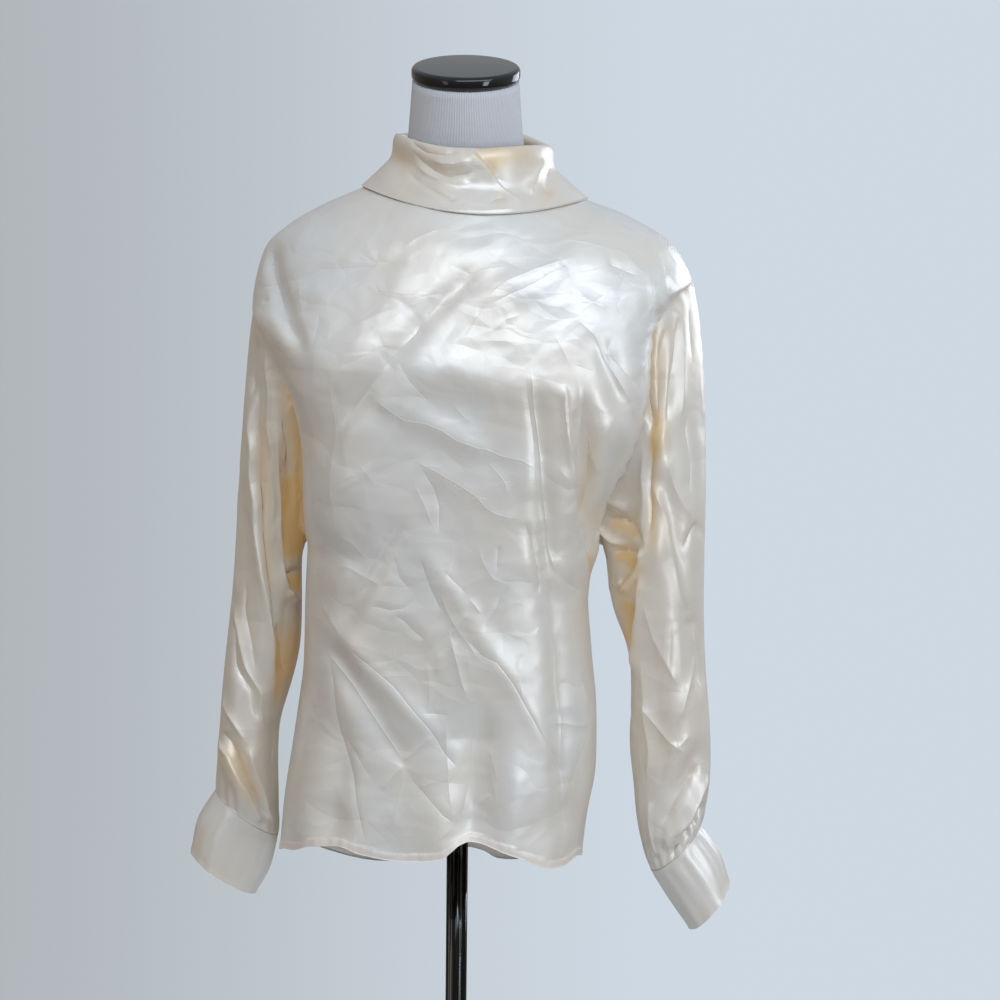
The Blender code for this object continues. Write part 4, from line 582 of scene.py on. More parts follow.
# Mesh steps over which a change sets in from a piece's sides, its first row and its last row.
PANEL_SMOOTH_EASE, PANEL_FOLD_EASE, PANEL_CREASE_EASE = (30, 20, 12), (24, 20, 0), (5, 18, 0)
SLEEVE_SMOOTH_EASE, SLEEVE_FOLD_EASE, SLEEVE_CREASE_EASE = (0, 12, 12), (0, 26, 14), (0, 3.5, 4)
COLLAR_EASE = (0, COLLAR_STEPS // 3, 3)
PANEL_SMOOTHING, SLEEVE_SMOOTHING = 6.0, 9.0  # mesh rows
STEEPEST_MITRE = 0.72  # least cosine of half a seam's angle, which limits the wall's stretch there

# Where each piece's random numbers start. Each kind of unevenness adds a small number of its own.
SEEDS = {"front": 11, "back": 23, "sleeve_left": 31, "sleeve_right": 47, "collar": 71}

MM = 0.1  # in centimetres
FOLD_RAMP = 3.6  # how long a broad fold takes to start and end, in its reaches
FOLD_TURN, CREASE_TURN, COLLAR_TURN = 1.6, 2.5, 2.0  # how soon relief is full where cloth turns
FRONT_TURN = 3.0  # the same for pressed lines and painted fold shade, which are on one side alone
CREASE_APEX = 0.08  # radius of a pressed crease's edge
CREASE_FLANKS = ((0.7, 1.5), (0.3, 0.45))  # share of rise and reach: a broad flank, a steep one
SLEEVE_DEPTH = 1.6  # of the pressed creases on sleeves against those on the body
WANDER, COLLAR_WANDER = (7.0, 0.14), (5.0, 0.1)  # wave length and reach of the wandering of creases
SWELL, RIPPLE = (5.0, 0.05), (1.9, 0.01)  # wave length and height of a panel's unevenness
COLLAR_SWELL, COLLAR_SWELL_BACK = (2.6, 0.03), (2.8, 0.06)
SLEEVE_SWELL, CUFF_SWELL = 0.09, 0.08

# Small seeded creases: lengths, rises in mm, reaches to each side, main angle and its spread in degrees.
PANEL_SMALL = ((1.5, 6.0), (0.1, 0.4), (0.5, 1.6), 60, 38)
SLEEVE_SMALL = ((2.0, 9.0), (0.15, 0.6), (0.5, 1.5), 90, 26)
SMALL_FADE = 0.35  # share of a small crease over which each end fades
PANEL_FIELD = (-17, 71), (16, 136)  # corners of where they lie on a panel
SLEEVE_GIRTH = 36.0  # round which they are laid out

# Facets: size, angle, length for each width, and height.
COARSE_FACETS, FINE_FACETS = (4.6, 62, 1.9, 0.18), (2.4, -48, 1.8, 0.075)
SMALL_RIDGES, SMALL_DENTS = (1.7, 25, 1.9, 0.055), (2.2, -50, 2.2, 0.06)
FACET_PATCH = 9.0  # size of the patches with more or fewer fine facets
CHEST_START, CHEST_FADE = 117.0, 6.0  # where small facets start to grow, and over what
CHEST_FACETS = (0.25, 0.6)  # share of small facets below the chest, and how much more on it

LEFT_LIP, RIGHT_LIP = 0.55, 0.16  # rise of the panels beside the armhole seams
LIP_START, LIP_REACH = 0.4, 1.3  # how far from the seam a lip is full, and how far it fades
LIP_ROWS_TOP, LIP_ROWS_UNDER = 44, 10  # mesh rows over which it starts and ends
PUCKERS = (1.3, 0.25)  # length of a lip's puckers, and their height as a share of it
# Gathers at a sleeve's ends: fewest and most round it, reach and height.
TOP_GATHERS, CUFF_GATHERS = (26, 60, 0.5, 0.012), (9, 24, 1.1, 0.03)
CUFF_EDGE_REACH, CUFF_EDGE = 0.35, 0.05  # the cuff's thicker lower edge

HEM_RISE, HEM_RIPPLE, HEM_WAVE, HEM_EDGE = 0.07, 0.035, 1.1, 0.08  # of the turned band
HEM_TONE_EDGE = 0.06  # over which its tone ends
STITCH_INSET = 0.08  # from the band's upper edge down to its stitches
STITCH_DIP, STITCH_DIP_REACH = 0.05, 0.06  # how far they pull the cloth in
STITCH_PITCH = 1.5  # from one hem stitch to the next, in stitch lengths
THREAD, THREAD_SIDES = 0.05, 6
THREAD_RINGS = ((-0.5, 0.3), (-0.34, 0.9), (0.0, 1.0), (0.34, 0.9), (0.5, 0.3))  # shares of length and width

# Thin pressed lines, which the shader draws from distances kept with the mesh.
LINE_SETS = 3
LINE_REACH = 0.9  # how far from a crease its distance is kept
LINE_WIDTH = 0.16  # of a pressed line, from its middle to one side
LINE_HEIGHT = 0.28  # share of a crease's rise that stands up in its thin line
WIDEST_LINED = 2.0  # a crease that reaches further has no thin line
STRONGEST_LINE = 1.2  # mm
FACET_HEIGHT = 2.0  # mm, in the shader
SLEEVE_PAINTED_SHADE_ALL_OVER, CUFF_PAINTED_SHADE_ALL_OVER, COLLAR_PAINTED_SHADE_ALL_OVER = 0.11, 0.06, 0.15  # how much painted golden shade and painted emitted light each gets all over, mostly on its front side

# Finishes and light, in linear colours and metres.
NECK_MIDDLE = (0.002, -0.015)  # what the jersey's ribs run round
JERSEY_COURSES = 2800.0  # radians a metre, of the knit's rows
SILK_WARM = (0.82, 0.755, 0.665, 1.0)
SILK_COOL = (0.81, 0.785, 0.74, 1.0)
SILK_HEM = (0.90, 0.78, 0.68, 1.0)
# Painted golden shade for deep folds, and the painted light that they emit.
PAINTED_FOLD_SHADE_COLOUR = (0.60, 0.42, 0.18, 1.0)
PAINTED_FOLD_LIGHT_COLOUR = (0.10, 0.056, 0.016, 1.0)
# The backdrop that the camera sees: painted shade, darker to the left and lighter to the right.
BACKDROP_LEFT = (0.42, 0.45, 0.468, 1.0)
BACKDROP_RIGHT = (0.62, 0.69, 0.765, 1.0)
ROOM_LEFT = (0.30, 0.258, 0.205, 1.0)
ROOM_RIGHT = (0.38, 0.39, 0.39, 1.0)
ROOM_FRONT = (0.37, 0.392, 0.415, 1.0)
ROOM_FLOOR = (0.20, 0.16, 0.115, 1.0)
ROOM_CEILING = (0.50, 0.54, 0.60, 1.0)
DAYLIGHT, WARM_LIGHT = (0.87, 0.98, 1.12), (1.0, 0.97, 0.92)
CHEST = (0.0, -0.05, 1.15)
CUFF_LEFT, CUFF_RIGHT = (0.24, 0.0, 0.75), (-0.22, 0.0, 0.8)
# Each light: its name, its place, what it shines at, its size and colour.
LIGHTS = (
    ("key", (0.6, -1.85, 2.55), CHEST, (2.8, 0.8), DAYLIGHT),
    ("side", (1.4, -1.4, 1.0), CUFF_LEFT, (0.4, 0.9), DAYLIGHT),
    ("fill", (-1.4, -1.5, 1.1), CUFF_RIGHT, (0.4, 1.0), WARM_LIGHT),
    ("rear", (1.9, 1.8, 1.7), CHEST, (1.5, 1.2), DAYLIGHT),
)
FLOOR_DROP, FLOOR_SIDES = 0.05, 96  # it lies just under the base
CAMERA_PLACE = (0.0398, -2.0, 1.35)
CAMERA_PITCH, CAMERA_ROLL = 8.0, 0.69
SENSOR_WIDTH = 36.0

# The sidebar's numbers that shape the cloth.
GarmentNumbers = collections.namedtuple("GarmentNumbers", "fold_depth crease_depth fine_creases hem_width")


class Cloth:
    """A piece of cloth: a grid of points in its middle surface, each with a normal and a wall stretch."""

    def __init__(self, grid, out):
        self.grid = grid
        self.out = out
        self.cut = grid.copy()  # the grid with its edges moved off the seams
        self.stretch = np.ones(grid.shape[:2])
        self.tone = None  # where the cloth is doubled, from 0 to 1
        self.glow = None  # painted golden shade and painted emitted light in deep folds, from 0 to 1
        self.away = None  # the distance from pressed lines, minus to their right, in LINE_SETS sets
        self.rise = None  # the rise of those lines, in mm


def column(rows, name, at):
    """A table column at any place along its first column, on a smooth curve that never overshoots."""
    keys = next(iter(rows.values()))
    values = rows[name]
    step = np.diff(keys)
    slope = np.diff(values) / step
    rate = np.zeros(len(keys))
    rate[0], rate[-1] = slope[0], slope[-1]
    same = slope[1:] * slope[:-1] > 0
    wide, narrow = 2 * step[1:] + step[:-1], step[1:] + 2 * step[:-1]
    with np.errstate(divide="ignore", invalid="ignore"):
        mean = (wide + narrow) / (wide / slope[:-1] + narrow / slope[1:])
    rate[1:-1] = np.where(same, mean, 0.0)
    at = np.asarray(at, float)
    k = np.clip(np.searchsorted(keys, at, side="right") - 1, 0, len(step) - 1)
    h = step[k]
    u = np.clip((at - keys[k]) / h, 0, 1)
    return (
        (2 * u**3 - 3 * u**2 + 1) * values[k]
        + (u**3 - 2 * u**2 + u) * h * rate[k]
        + (3 * u**2 - 2 * u**3) * values[k + 1]
        + (u**3 - u**2) * h * rate[k + 1]
    )


def smoothstep(t):
    t = np.clip(t, 0, 1)
    return t * t * (3 - 2 * t)


def unit(vectors):
    length = np.linalg.norm(vectors, axis=-1, keepdims=True)
    return vectors / np.maximum(length, 1e-9)


def powered(values, power):
    """Each value's size raised to a power, with its sign kept."""
    return np.sign(values) * np.abs(values) ** power


def run_lengths(steps):
    """How far along a line each of its points lies, from the lengths of its steps."""
    return np.concatenate([[0], np.cumsum(steps)])


def at_length(values, along, at):
    """Points or directions at one or more lengths along a line."""
    return np.stack([np.interp(at, along, values[:, k]) for k in range(3)], axis=-1)


def spaced(points, count):
    """count + 1 points evenly spaced along a polyline."""
    along = run_lengths(np.linalg.norm(np.diff(points, axis=0), axis=1))
    return at_length(points, along, np.linspace(0, along[-1], count + 1))


def hem_lift(x, v, hem):
    """The lift of a panel's lower rows, which is zero at the side seams."""
    fade = np.clip((v - HEM_LIFT_START) / (V_HEM - HEM_LIFT_START), 0, 1) ** HEM_LIFT_POWER
    right, left = RIGHT_EDGE["x_front"][-1], LEFT_EDGE["x_front"][-1]
    inside = np.clip(np.minimum(x - right, left - x), 0, 1)
    return column(hem, "lift", x) * fade * inside


def panel_row(v, panel, side, count):
    """One row across a panel, from the wearer's right to the left."""
    angle = np.linspace(math.pi, 0, FINE)
    power = 2 / column(panel, "square", v)
    share = (powered(np.cos(angle), power) + 1) / 2
    bulge = np.abs(np.sin(angle)) ** power
    x0, x1 = (column(edge, "x_" + side, v) for edge in (RIGHT_EDGE, LEFT_EDGE))
    y0, y1 = (column(edge, "y_" + side, v) for edge in (RIGHT_EDGE, LEFT_EDGE))
    z0, z1 = (column(edge, "z", v) for edge in (RIGHT_EDGE, LEFT_EDGE))
    x = x0 + (x1 - x0) * share
    y_edge = y0 + (y1 - y0) * share
    y = y_edge + (column(panel, "y", v) - y_edge) * bulge
    z = z0 + (z1 - z0) * share - column(panel, "drop", v) * bulge**2
    row = spaced(np.stack([x, y, z], axis=1), count)
    row[:, 2] += hem_lift(row[:, 0], v, FRONT_HEM if side == "front" else BACK_HEM)
    return row


def front_row(v):
    return panel_row(v, FRONT, "front", FRONT_COLUMNS)


def back_row(v):
    return panel_row(v, BACK, "back", BACK_COLUMNS)


def closed_loop(front, back):
    """The ring of a front row and a back row, from the right side over the front and round the back."""
    return np.concatenate([front, back[::-1][1:-1]])


def body_rows():
    """The v of each mesh row down the body."""
    shoulder = np.linspace(0, V_TIP, SHOULDER_STEPS + 1)[:-1]
    armhole = np.linspace(V_TIP, V_UNDERARM, ARMHOLE_STEPS + 1)
    side = np.linspace(V_UNDERARM, V_HEM, SIDE_STEPS + 1)[1:]
    return np.concatenate([shoulder, armhole, side])


def normals(points, toward, around=False):
    """Unit normals of a grid, rows going down and columns across, facing toward on the whole."""
    if around:
        across = np.roll(points, -1, axis=1) - np.roll(points, 1, axis=1)
    else:
        across = np.gradient(points, axis=1)
    out = unit(np.cross(np.gradient(points, axis=0), across))
    return out * (-1 if (out * toward).sum() < 0 else 1)


def ring_normals(rings):
    """Unit normals of rings round a tube, facing out of it."""
    return normals(rings, rings - rings.mean(axis=1, keepdims=True), around=True)


def away_from(points, x, z):
    """Each place's distance to a polyline in the front view, which side it lies on, and how far along."""
    best = np.full(x.shape, 1e9)
    side = np.zeros(x.shape)
    along = np.zeros(x.shape)
    start = 0.0
    for (x0, z0), (x1, z1) in zip(points, points[1:]):
        dx, dz = x1 - x0, z1 - z0
        length = math.hypot(dx, dz)
        share = np.clip(((x - x0) * dx + (z - z0) * dz) / length**2, 0, 1)
        away = np.hypot(x - x0 - share * dx, z - z0 - share * dz)
        nearer = away < best
        best = np.where(nearer, away, best)
        side = np.where(nearer, (x - x0) * dz - (z - z0) * dx, side)
        along = np.where(nearer, start + share * length, along)
        start += length
    return best, side, along, start


def end_fade(along, length, fade):
    """1 along a line, and down to 0 over a share of it at each end."""
    return smoothstep(along / (fade * length)) * smoothstep((length - along) / (fade * length))


def crease_height(creases, x, z):
    """The relief of creases: a sharp line with flanks that reach differently to its left and right."""
    height = np.zeros(x.shape)
    for points, rise, reach_left, reach_right, fade in creases:
        away, side, along, length = away_from(points, x, z)
        reach = np.where(side > 0, reach_left, reach_right)
        t = (np.sqrt(away**2 + CREASE_APEX**2) - CREASE_APEX) / reach
        flank = sum(share * np.clip(1 - t / wide, 0, 1) ** 2 for share, wide in CREASE_FLANKS)
        height += rise * MM * flank * end_fade(along, length, fade)
    return height


def crease_lines(creases, x, z, out):
    """The thin pressed line down each crease, for the shader: the signed distance from it and its rise.

    Creases take turns among the sets, so lines that meet or run close together are kept apart.
    """
    away = np.full(x.shape + (LINE_SETS,), LINE_REACH)
    rise = np.zeros(x.shape + (LINE_SETS,))
    for k, (points, height, *reaches, fade) in enumerate(creases):
        if min(reaches) > WIDEST_LINED:
            continue
        near, side, along, length = away_from(points, x, z)
        chosen = near < np.abs(away[..., k % LINE_SETS])
        strength = np.sign(height) * min(abs(height), STRONGEST_LINE) * end_fade(along, length, fade)
        strength *= smoothstep(2 - 2 * near / LINE_REACH)
        away[chosen, k % LINE_SETS] = np.where(side > 0, near, -near)[chosen]
        rise[chosen, k % LINE_SETS] = strength[chosen]
    return away, rise * np.clip(out[..., 1:2] * -FRONT_TURN, 0, 1)


def painted_fold_share(painted_fold_lines, x, z, out, ground=0.0):
    """How much painted golden shade and painted emitted light the cloth gets on its front side: its ground,
    and more in its deep folds.
    """
    total = np.full(x.shape, ground)
    for points, strength, reach_left, reach_right, fade in painted_fold_lines:
        away, side, along, length = away_from(points, x, z)
        reach = np.where(side > 0, reach_left, reach_right)
        total += strength * np.exp(-((away / reach) ** 2)) * end_fade(along, length, fade)
    return np.clip(total, 0, 1) * np.clip(0.4 - out[..., 1] * FRONT_TURN, 0, 1)


def fold_height(folds, x, z):
    """The relief of broad, soft folds. Each has half its height at its ends, so folds in a chain run on."""
    height = np.zeros(x.shape)
    for x0, z0, x1, z1, reach, rise in zip(*folds.values()):
        length = math.hypot(x1 - x0, z1 - z0)
        along = ((x - x0) * (x1 - x0) + (z - z0) * (z1 - z0)) / length
        across = ((x - x0) * (z1 - z0) - (z - z0) * (x1 - x0)) / length
        ramp = min(FOLD_RAMP * reach, length)
        ends = smoothstep(along / ramp + 0.5) * smoothstep((length - along) / ramp + 0.5)
        height += rise * np.exp(-((across / reach) ** 2)) * ends
    return height


def crumple(x, z, seed, spacing, angle, stretch, height):
    """Facets with sharp edges between them, low inside and up to a height at their edges."""
    rng = np.random.default_rng(seed)
    way = math.radians(angle)
    along = (x * math.cos(way) + z * math.sin(way)) / stretch
    across = -x * math.sin(way) + z * math.cos(way)
    low, high = (along.min(), across.min()), (along.max(), across.max())
    count = int((high[0] - low[0]) * (high[1] - low[1]) / spacing**2)
    nearest = np.full(x.shape, 1e9)
    for _ in range(max(count, 1)):
        a, b = rng.uniform(low, high)
        nearest = np.minimum(nearest, (along - a) ** 2 + (across - b) ** 2)
    return nearest / spacing**2 * height


def smoothed(grid, steps):
    """The grid with the bends between its table rows eased out, by a running mean of Gaussian weight."""
    reach = int(steps * 3)
    weights = np.exp(-0.5 * (np.arange(-reach, reach + 1) / steps) ** 2)
    weights /= weights.sum()
    before = 2 * grid[:1] - grid[1 : reach + 1][::-1]
    after = 2 * grid[-1:] - grid[-reach - 1 : -1][::-1]
    padded = np.concatenate([before, grid, after])
    return sum(w * padded[k : k + len(grid)] for k, w in enumerate(weights))


def wavy(x, z, seed, scale, amount):
    """A slow, smooth wandering of a place, so that no line on cloth is quite straight."""
    rng = np.random.default_rng(seed)
    dx, dz = np.zeros(x.shape), np.zeros(x.shape)
    for _ in range(5):
        angle, phase, turn = rng.uniform(0, 2 * math.pi, 3)
        k = 2 * math.pi / (scale * rng.uniform(0.6, 1.6))
        wave = np.sin((x * math.cos(angle) + z * math.sin(angle)) * k + phase)
        dx += wave * math.cos(turn)
        dz += wave * math.sin(turn)
    return x + dx * amount / 2.2, z + dz * amount / 2.2


def scattered_creases(seed, count):
    """Small creases at seeded random places on a panel."""
    lengths, rises, reaches, angle, spread = PANEL_SMALL
    rng = np.random.default_rng(seed)
    found = []
    for _ in range(count):
        x, z = rng.uniform(*PANEL_FIELD)
        length = rng.uniform(*lengths)
        way = math.radians(angle + rng.normal(0, spread))
        dx, dz = math.cos(way) * length / 2, math.sin(way) * length / 2
        rise = rng.uniform(*rises) * rng.choice([-1, 1])
        reach = rng.uniform(*reaches, 2)
        found.append(([(x - dx, z - dz), (x + dx, z + dz)], rise, *reach, SMALL_FADE))
    return found


def relief(grid, out, height, facing, turn):
    """The grid moved out by a height where its normals face the front (-1) or the back (1)."""
    turned_to = np.clip(out[..., 1] * facing * turn, 0, 1)
    return grid + out * (height * turned_to)[..., None]


def eased(changed, plain, side, first, last):
    """The changed grid brought back to the plain one over a number of steps in from each edge."""
    n_rows, n_columns = plain.shape[:2]
    i = np.arange(n_rows)[:, None]
    j = np.arange(n_columns)[None, :]
    keep = np.ones((n_rows, n_columns))
    for away, steps in ((np.minimum(j, n_columns - 1 - j), side), (i, first), (n_rows - 1 - i, last)):
        if steps:
            keep = np.minimum(keep, away / steps)
    return plain + (changed - plain) * smoothstep(keep)[..., None]


def sleeve_ring(rows, r, angles):
    """A ring round a sleeve: angle 0 is its outer line, 90 degrees its front, 180 its inner line."""
    x0, z0 = column(rows, "x_out", r), column(rows, "z_out", r)
    x1, z1 = column(rows, "x_in", r), column(rows, "z_in", r)
    sin = np.sin(angles)
    share = (1 - np.cos(angles)) / 2
    depth = -np.where(sin > 0, column(rows, "fore", r), column(rows, "aft", r)) * sin
    y = column(rows, "y_mid", r) + depth
    return np.stack([x0 + (x1 - x0) * share, y, z0 + (z1 - z0) * share], axis=1)


def angles_round(count):
    return np.linspace(0, 2 * math.pi, count, endpoint=False)


def sleeve_grid(rows, loop):
    """Rings from the armhole's own loop down to the cuff seam."""
    angles = angles_round(len(loop))
    start = loop - sleeve_ring(rows, 0.0, angles)
    rings = []
    for r in np.linspace(0, 1, SLEEVE_STEPS + 1):
        blend = max(0.0, 1 - r / ARMHOLE_BLEND) ** 2
        rings.append(sleeve_ring(rows, r, angles) + start * blend)
    return np.stack(rings)


def collar_ring(row, start, end, count):
    """Part of a collar ring, through its right, front, left and back points."""
    angles = np.linspace(start, end, FINE)
    sin = np.sin(angles)
    deep = np.abs(sin)
    share = (np.cos(angles) + 1) / 2
    z_side = row["z_right"] + (row["z_left"] - row["z_right"]) * share
    y_far = np.where(sin > 0, row["y_front"], row["y_back"])
    z_far = np.where(sin > 0, row["z_front"], row["z_back"])
    x = row["x_right"] + (row["x_left"] - row["x_right"]) * share
    y = row["y_side"] + (y_far - row["y_side"]) * deep
    z = z_side + (z_far - z_side) * deep**2
    return spaced(np.stack([x, y, z], axis=1), count)


def smooth_rings(rings, count):
    """count + 1 rings evenly spaced through the given ones, on a Catmull-Rom curve."""
    padded = np.concatenate([2 * rings[:1] - rings[1:2], rings, 2 * rings[-1:] - rings[-2:-1]])
    step = np.linalg.norm(np.diff(rings, axis=0), axis=2).mean(axis=1)
    along = run_lengths(step)
    found = []
    for at in np.linspace(0, along[-1], count + 1):
        k = int(np.clip(np.searchsorted(along, at, side="right") - 1, 0, len(step) - 1))
        u = (at - along[k]) / step[k]
        a, b, c, d = padded[k : k + 4]
        bend = 2 * b + (c - a) * u + (2 * a - 5 * b + 4 * c - d) * u**2
        found.append(0.5 * (bend + (3 * b - a - 3 * c + d) * u**3))
    return np.stack(found)


def collar_grid():
    """Collar rings with one point for each column of the front and back neck edges."""
    rings = []
    for k in range(len(COLLAR_RINGS["r"])):
        row = {name: values[k] for name, values in COLLAR_RINGS.items()}
        front = collar_ring(row, math.pi, 0, FRONT_COLUMNS)
        back = collar_ring(row, math.pi, 2 * math.pi, BACK_COLUMNS)
        rings.append(closed_loop(front, back))
    below = closed_loop(front_row(COLLAR_REACH), back_row(COLLAR_REACH))
    lower = closed_loop(front_row(COLLAR_REACH + 0.1), back_row(COLLAR_REACH + 0.1))
    along = np.roll(below, -1, axis=0) - np.roll(below, 1, axis=0)
    up = unit(np.cross(lower - below, along))
    up *= np.where(up[:, 2:] < 0, -1, 1)
    edge = below + up * COLLAR_LIFT
    rings.append(rings[-1] * (1 - COLLAR_BEND) + edge * COLLAR_BEND - up * COLLAR_SAG)
    rings.append(edge)
    return smooth_rings(np.stack(rings), COLLAR_STEPS)


def mesh_object(name, vertices, faces, material, smooth=True):
    """A mesh object from points in centimetres."""
    mesh = bpy.data.meshes.new(name)
    mesh.from_pydata((np.asarray(vertices) * CM).tolist(), [], faces)
    mesh.materials.append(material)
    mesh.polygons.foreach_set("use_smooth", [smooth] * len(mesh.polygons))
    mesh.update()
    item = bpy.data.objects.new(name, mesh)
    bpy.context.scene.collection.objects.link(item)
    return item


def grid_faces(n_rows, n_columns, around, offset, flip):
    i = np.arange(n_rows - 1)[:, None]
    j = np.arange(n_columns if around else n_columns - 1)[None, :]
    beside = (j + 1) % n_columns
    a, b = i * n_columns + j, (i + 1) * n_columns + j
    c, d = (i + 1) * n_columns + beside, i * n_columns + beside
    quads = np.stack([d, c, b, a] if flip else [a, b, c, d], axis=-1)
    return (quads.reshape(-1, 4) + offset).tolist()


def rim_faces(outer, inner, flip):
    """Faces that join an outer edge to an inner edge with half as many steps."""
    outer, inner = outer.tolist(), inner.tolist()
    faces = []
    for k in range(len(inner) - 1):
        a, b, c = outer[2 * k : 2 * k + 3]
        faces += [(a, inner[k], b), (b, inner[k], inner[k + 1]), (b, inner[k + 1], c)]
    return [face[::-1] for face in faces] if flip else faces


def shell(name, cloth, material, around=False):
    """The cloth as a closed shell: a fine outer side, an inner side of every second point, and rims."""
    half = cloth.out * (cloth.stretch * WALL / 2)[..., None]
    outer, inner = cloth.cut + half, (cloth.cut - half)[::2, ::2]
    rows, columns = outer.shape[:2]
    i, j = rows // 2, columns // 2
    first = outer[i + 1, j + 1] - outer[i, j]
    second = outer[i, j + 1] - outer[i + 1, j]
    flip = bool(np.cross(first, second) @ cloth.out[i, j] < 0)
    rows_in, columns_in = inner.shape[:2]
    count = rows * columns
    faces = grid_faces(rows, columns, around, 0, flip)
    faces += grid_faces(rows_in, columns_in, around, count, not flip)
    fine = np.arange(count).reshape(rows, columns)
    coarse = np.arange(rows_in * columns_in).reshape(rows_in, columns_in) + count
    if around:
        fine = np.concatenate([fine, fine[:, :1]], axis=1)
        coarse = np.concatenate([coarse, coarse[:, :1]], axis=1)
    faces += rim_faces(fine[0], coarse[0], flip)
    faces += rim_faces(fine[-1], coarse[-1], not flip)
    if not around:
        faces += rim_faces(fine[:, 0], coarse[:, 0], not flip)
        faces += rim_faces(fine[:, -1], coarse[:, -1], flip)
    vertices = np.concatenate([outer.reshape(-1, 3), inner.reshape(-1, 3)])
    item = mesh_object(name, vertices, faces, material)
    for label, values, kind, field, size in (
        ("tone", cloth.tone, "FLOAT", "value", 1),
        ("glow", cloth.glow, "FLOAT", "value", 1),
        ("line_away", cloth.away, "FLOAT_VECTOR", "vector", LINE_SETS),
        ("line_rise", cloth.rise, "FLOAT_VECTOR", "vector", LINE_SETS),
    ):
        kept = np.zeros(len(vertices) * size)
        if values is not None:
            kept[: values.size] = values.reshape(-1)
        item.data.attributes.new(label, kind, "POINT").data.foreach_set(field, kept)
    return item


def body_panels(settings):
    """Front and back with their folds and creases, and the same points along shoulder and side seams."""
    rows = body_rows()
    front = np.stack([front_row(v) for v in rows])
    back = np.stack([back_row(v) for v in rows])
    front, back = (eased(smoothed(grid, PANEL_SMOOTHING), grid, *PANEL_SMOOTH_EASE) for grid in (front, back))
    seams = seam_rows()
    for j in (0, -1):
        front[seams, j] = back[seams, j] = (front[seams, j] + back[seams, j]) / 2
    hem_width = settings.hem_width / CM
    panels = []
    for grid, folds, creases, painted_fold_lines, facing, seed in (
        (front, FRONT_FOLDS, FRONT_CREASES, FRONT_PAINTED_FOLD_LINES, -1, SEEDS["front"]),
        (back, BACK_FOLDS, BACK_CREASES, BACK_PAINTED_FOLD_LINES, 1, SEEDS["back"]),
    ):
        toward = np.array([0.0, facing, 0.0])
        x, z = grid[..., 0], grid[..., 2]
        height = fold_height(folds, x, z) * settings.fold_depth
        shaped = relief(grid, normals(grid, toward), height, facing, FOLD_TURN)
        shaped = eased(shaped, grid, *PANEL_FOLD_EASE)
        out = normals(shaped, toward)
        xw, zw = wavy(x, z, seed, *WANDER)
        small = scattered_creases(seed, settings.fine_creases)
        height = crease_height(creases, xw, zw) + crease_height(small, xw, zw)
        height += undulation(x, z, seed + 1, *SWELL) + undulation(x, z, seed + 2, *RIPPLE)
        height += crumpled(xw, zw, seed)
        creased = relief(shaped, out, height * settings.crease_depth, facing, CREASE_TURN)
        creased = eased(creased, shaped, *PANEL_CREASE_EASE)
        creased = rolled(creased, normals(creased, toward), seed)
        creased = hemmed(creased, normals(creased, toward), hem_width, seed)
        panel = Cloth(creased, normals(creased, toward))
        panel.tone = hem_tone(creased, hem_width)
        panel.glow = painted_fold_share(painted_fold_lines, x, z, out)
        panel.away, panel.rise = crease_lines(creases + small, xw, zw, out * -facing)
        panels.append(panel)
    return panels


def rolled(grid, out, seed):
    """The panel's armhole edges, raised in a lip beside the seam, with small puckers."""
    steps = np.linalg.norm(np.diff(grid, axis=1), axis=2)
    from_right = np.concatenate([np.zeros((len(grid), 1)), np.cumsum(steps, axis=1)], axis=1)
    from_left = from_right[:, -1:] - from_right
    row = np.arange(len(grid))[:, None] - SHOULDER_STEPS
    ends = smoothstep(row / LIP_ROWS_TOP) * smoothstep((ARMHOLE_STEPS - row) / LIP_ROWS_UNDER)
    pucker = 1 + undulation(grid[..., 2], grid[..., 2] * 0, seed + 8, *PUCKERS)
    lip = 0.0
    for away, rise in ((from_left, LEFT_LIP), (from_right, RIGHT_LIP)):
        lip = lip + rise * np.exp(-away / LIP_REACH) * smoothstep(away / LIP_START)
    return grid + out * (lip * ends * pucker)[..., None]


def crumpled(x, z, seed):
    """Facets as in cloth that has lain folded, stronger in some places than in others."""
    where = smoothstep(undulation(x, z, seed + 3, FACET_PATCH, 0.5) + 0.5)
    coarse = crumple(x, z, seed + 4, *COARSE_FACETS)
    fine = crumple(x, z, seed + 5, *FINE_FACETS)
    small = crumple(x, z, seed + 6, *SMALL_RIDGES) - crumple(x, z, seed + 7, *SMALL_DENTS)
    below, more = CHEST_FACETS
    chest = smoothstep((z - CHEST_START) / CHEST_FADE)
    return coarse - fine * where + small * (below + more * chest)


def from_hem(grid):
    """Each point's distance from the last row, along its column."""
    steps = np.linalg.norm(np.diff(grid, axis=0), axis=2)
    rest = np.cumsum(steps[::-1], axis=0)[::-1]
    return np.concatenate([rest, np.zeros((1, grid.shape[1]))])


def hem_tone(grid, width):
    """1 on the turned hem and 0 above it."""
    return 1 - smoothstep((from_hem(grid) - width) / HEM_TONE_EDGE)


def hemmed(grid, out, width, seed):
    """A narrow turned hem: a slightly thicker band whose stitch line pulls in and ripples."""
    away = from_hem(grid)
    band = 1 - smoothstep((away - width) / HEM_EDGE)
    stitch = np.exp(-(((away - width + STITCH_INSET) / STITCH_DIP_REACH) ** 2))
    ripple = undulation(grid[..., 0], grid[..., 2] * 0.3, seed + 5, HEM_WAVE)
    height = band * HEM_RISE - stitch * STITCH_DIP + band * ripple * HEM_RIPPLE
    return grid + out * height[..., None]


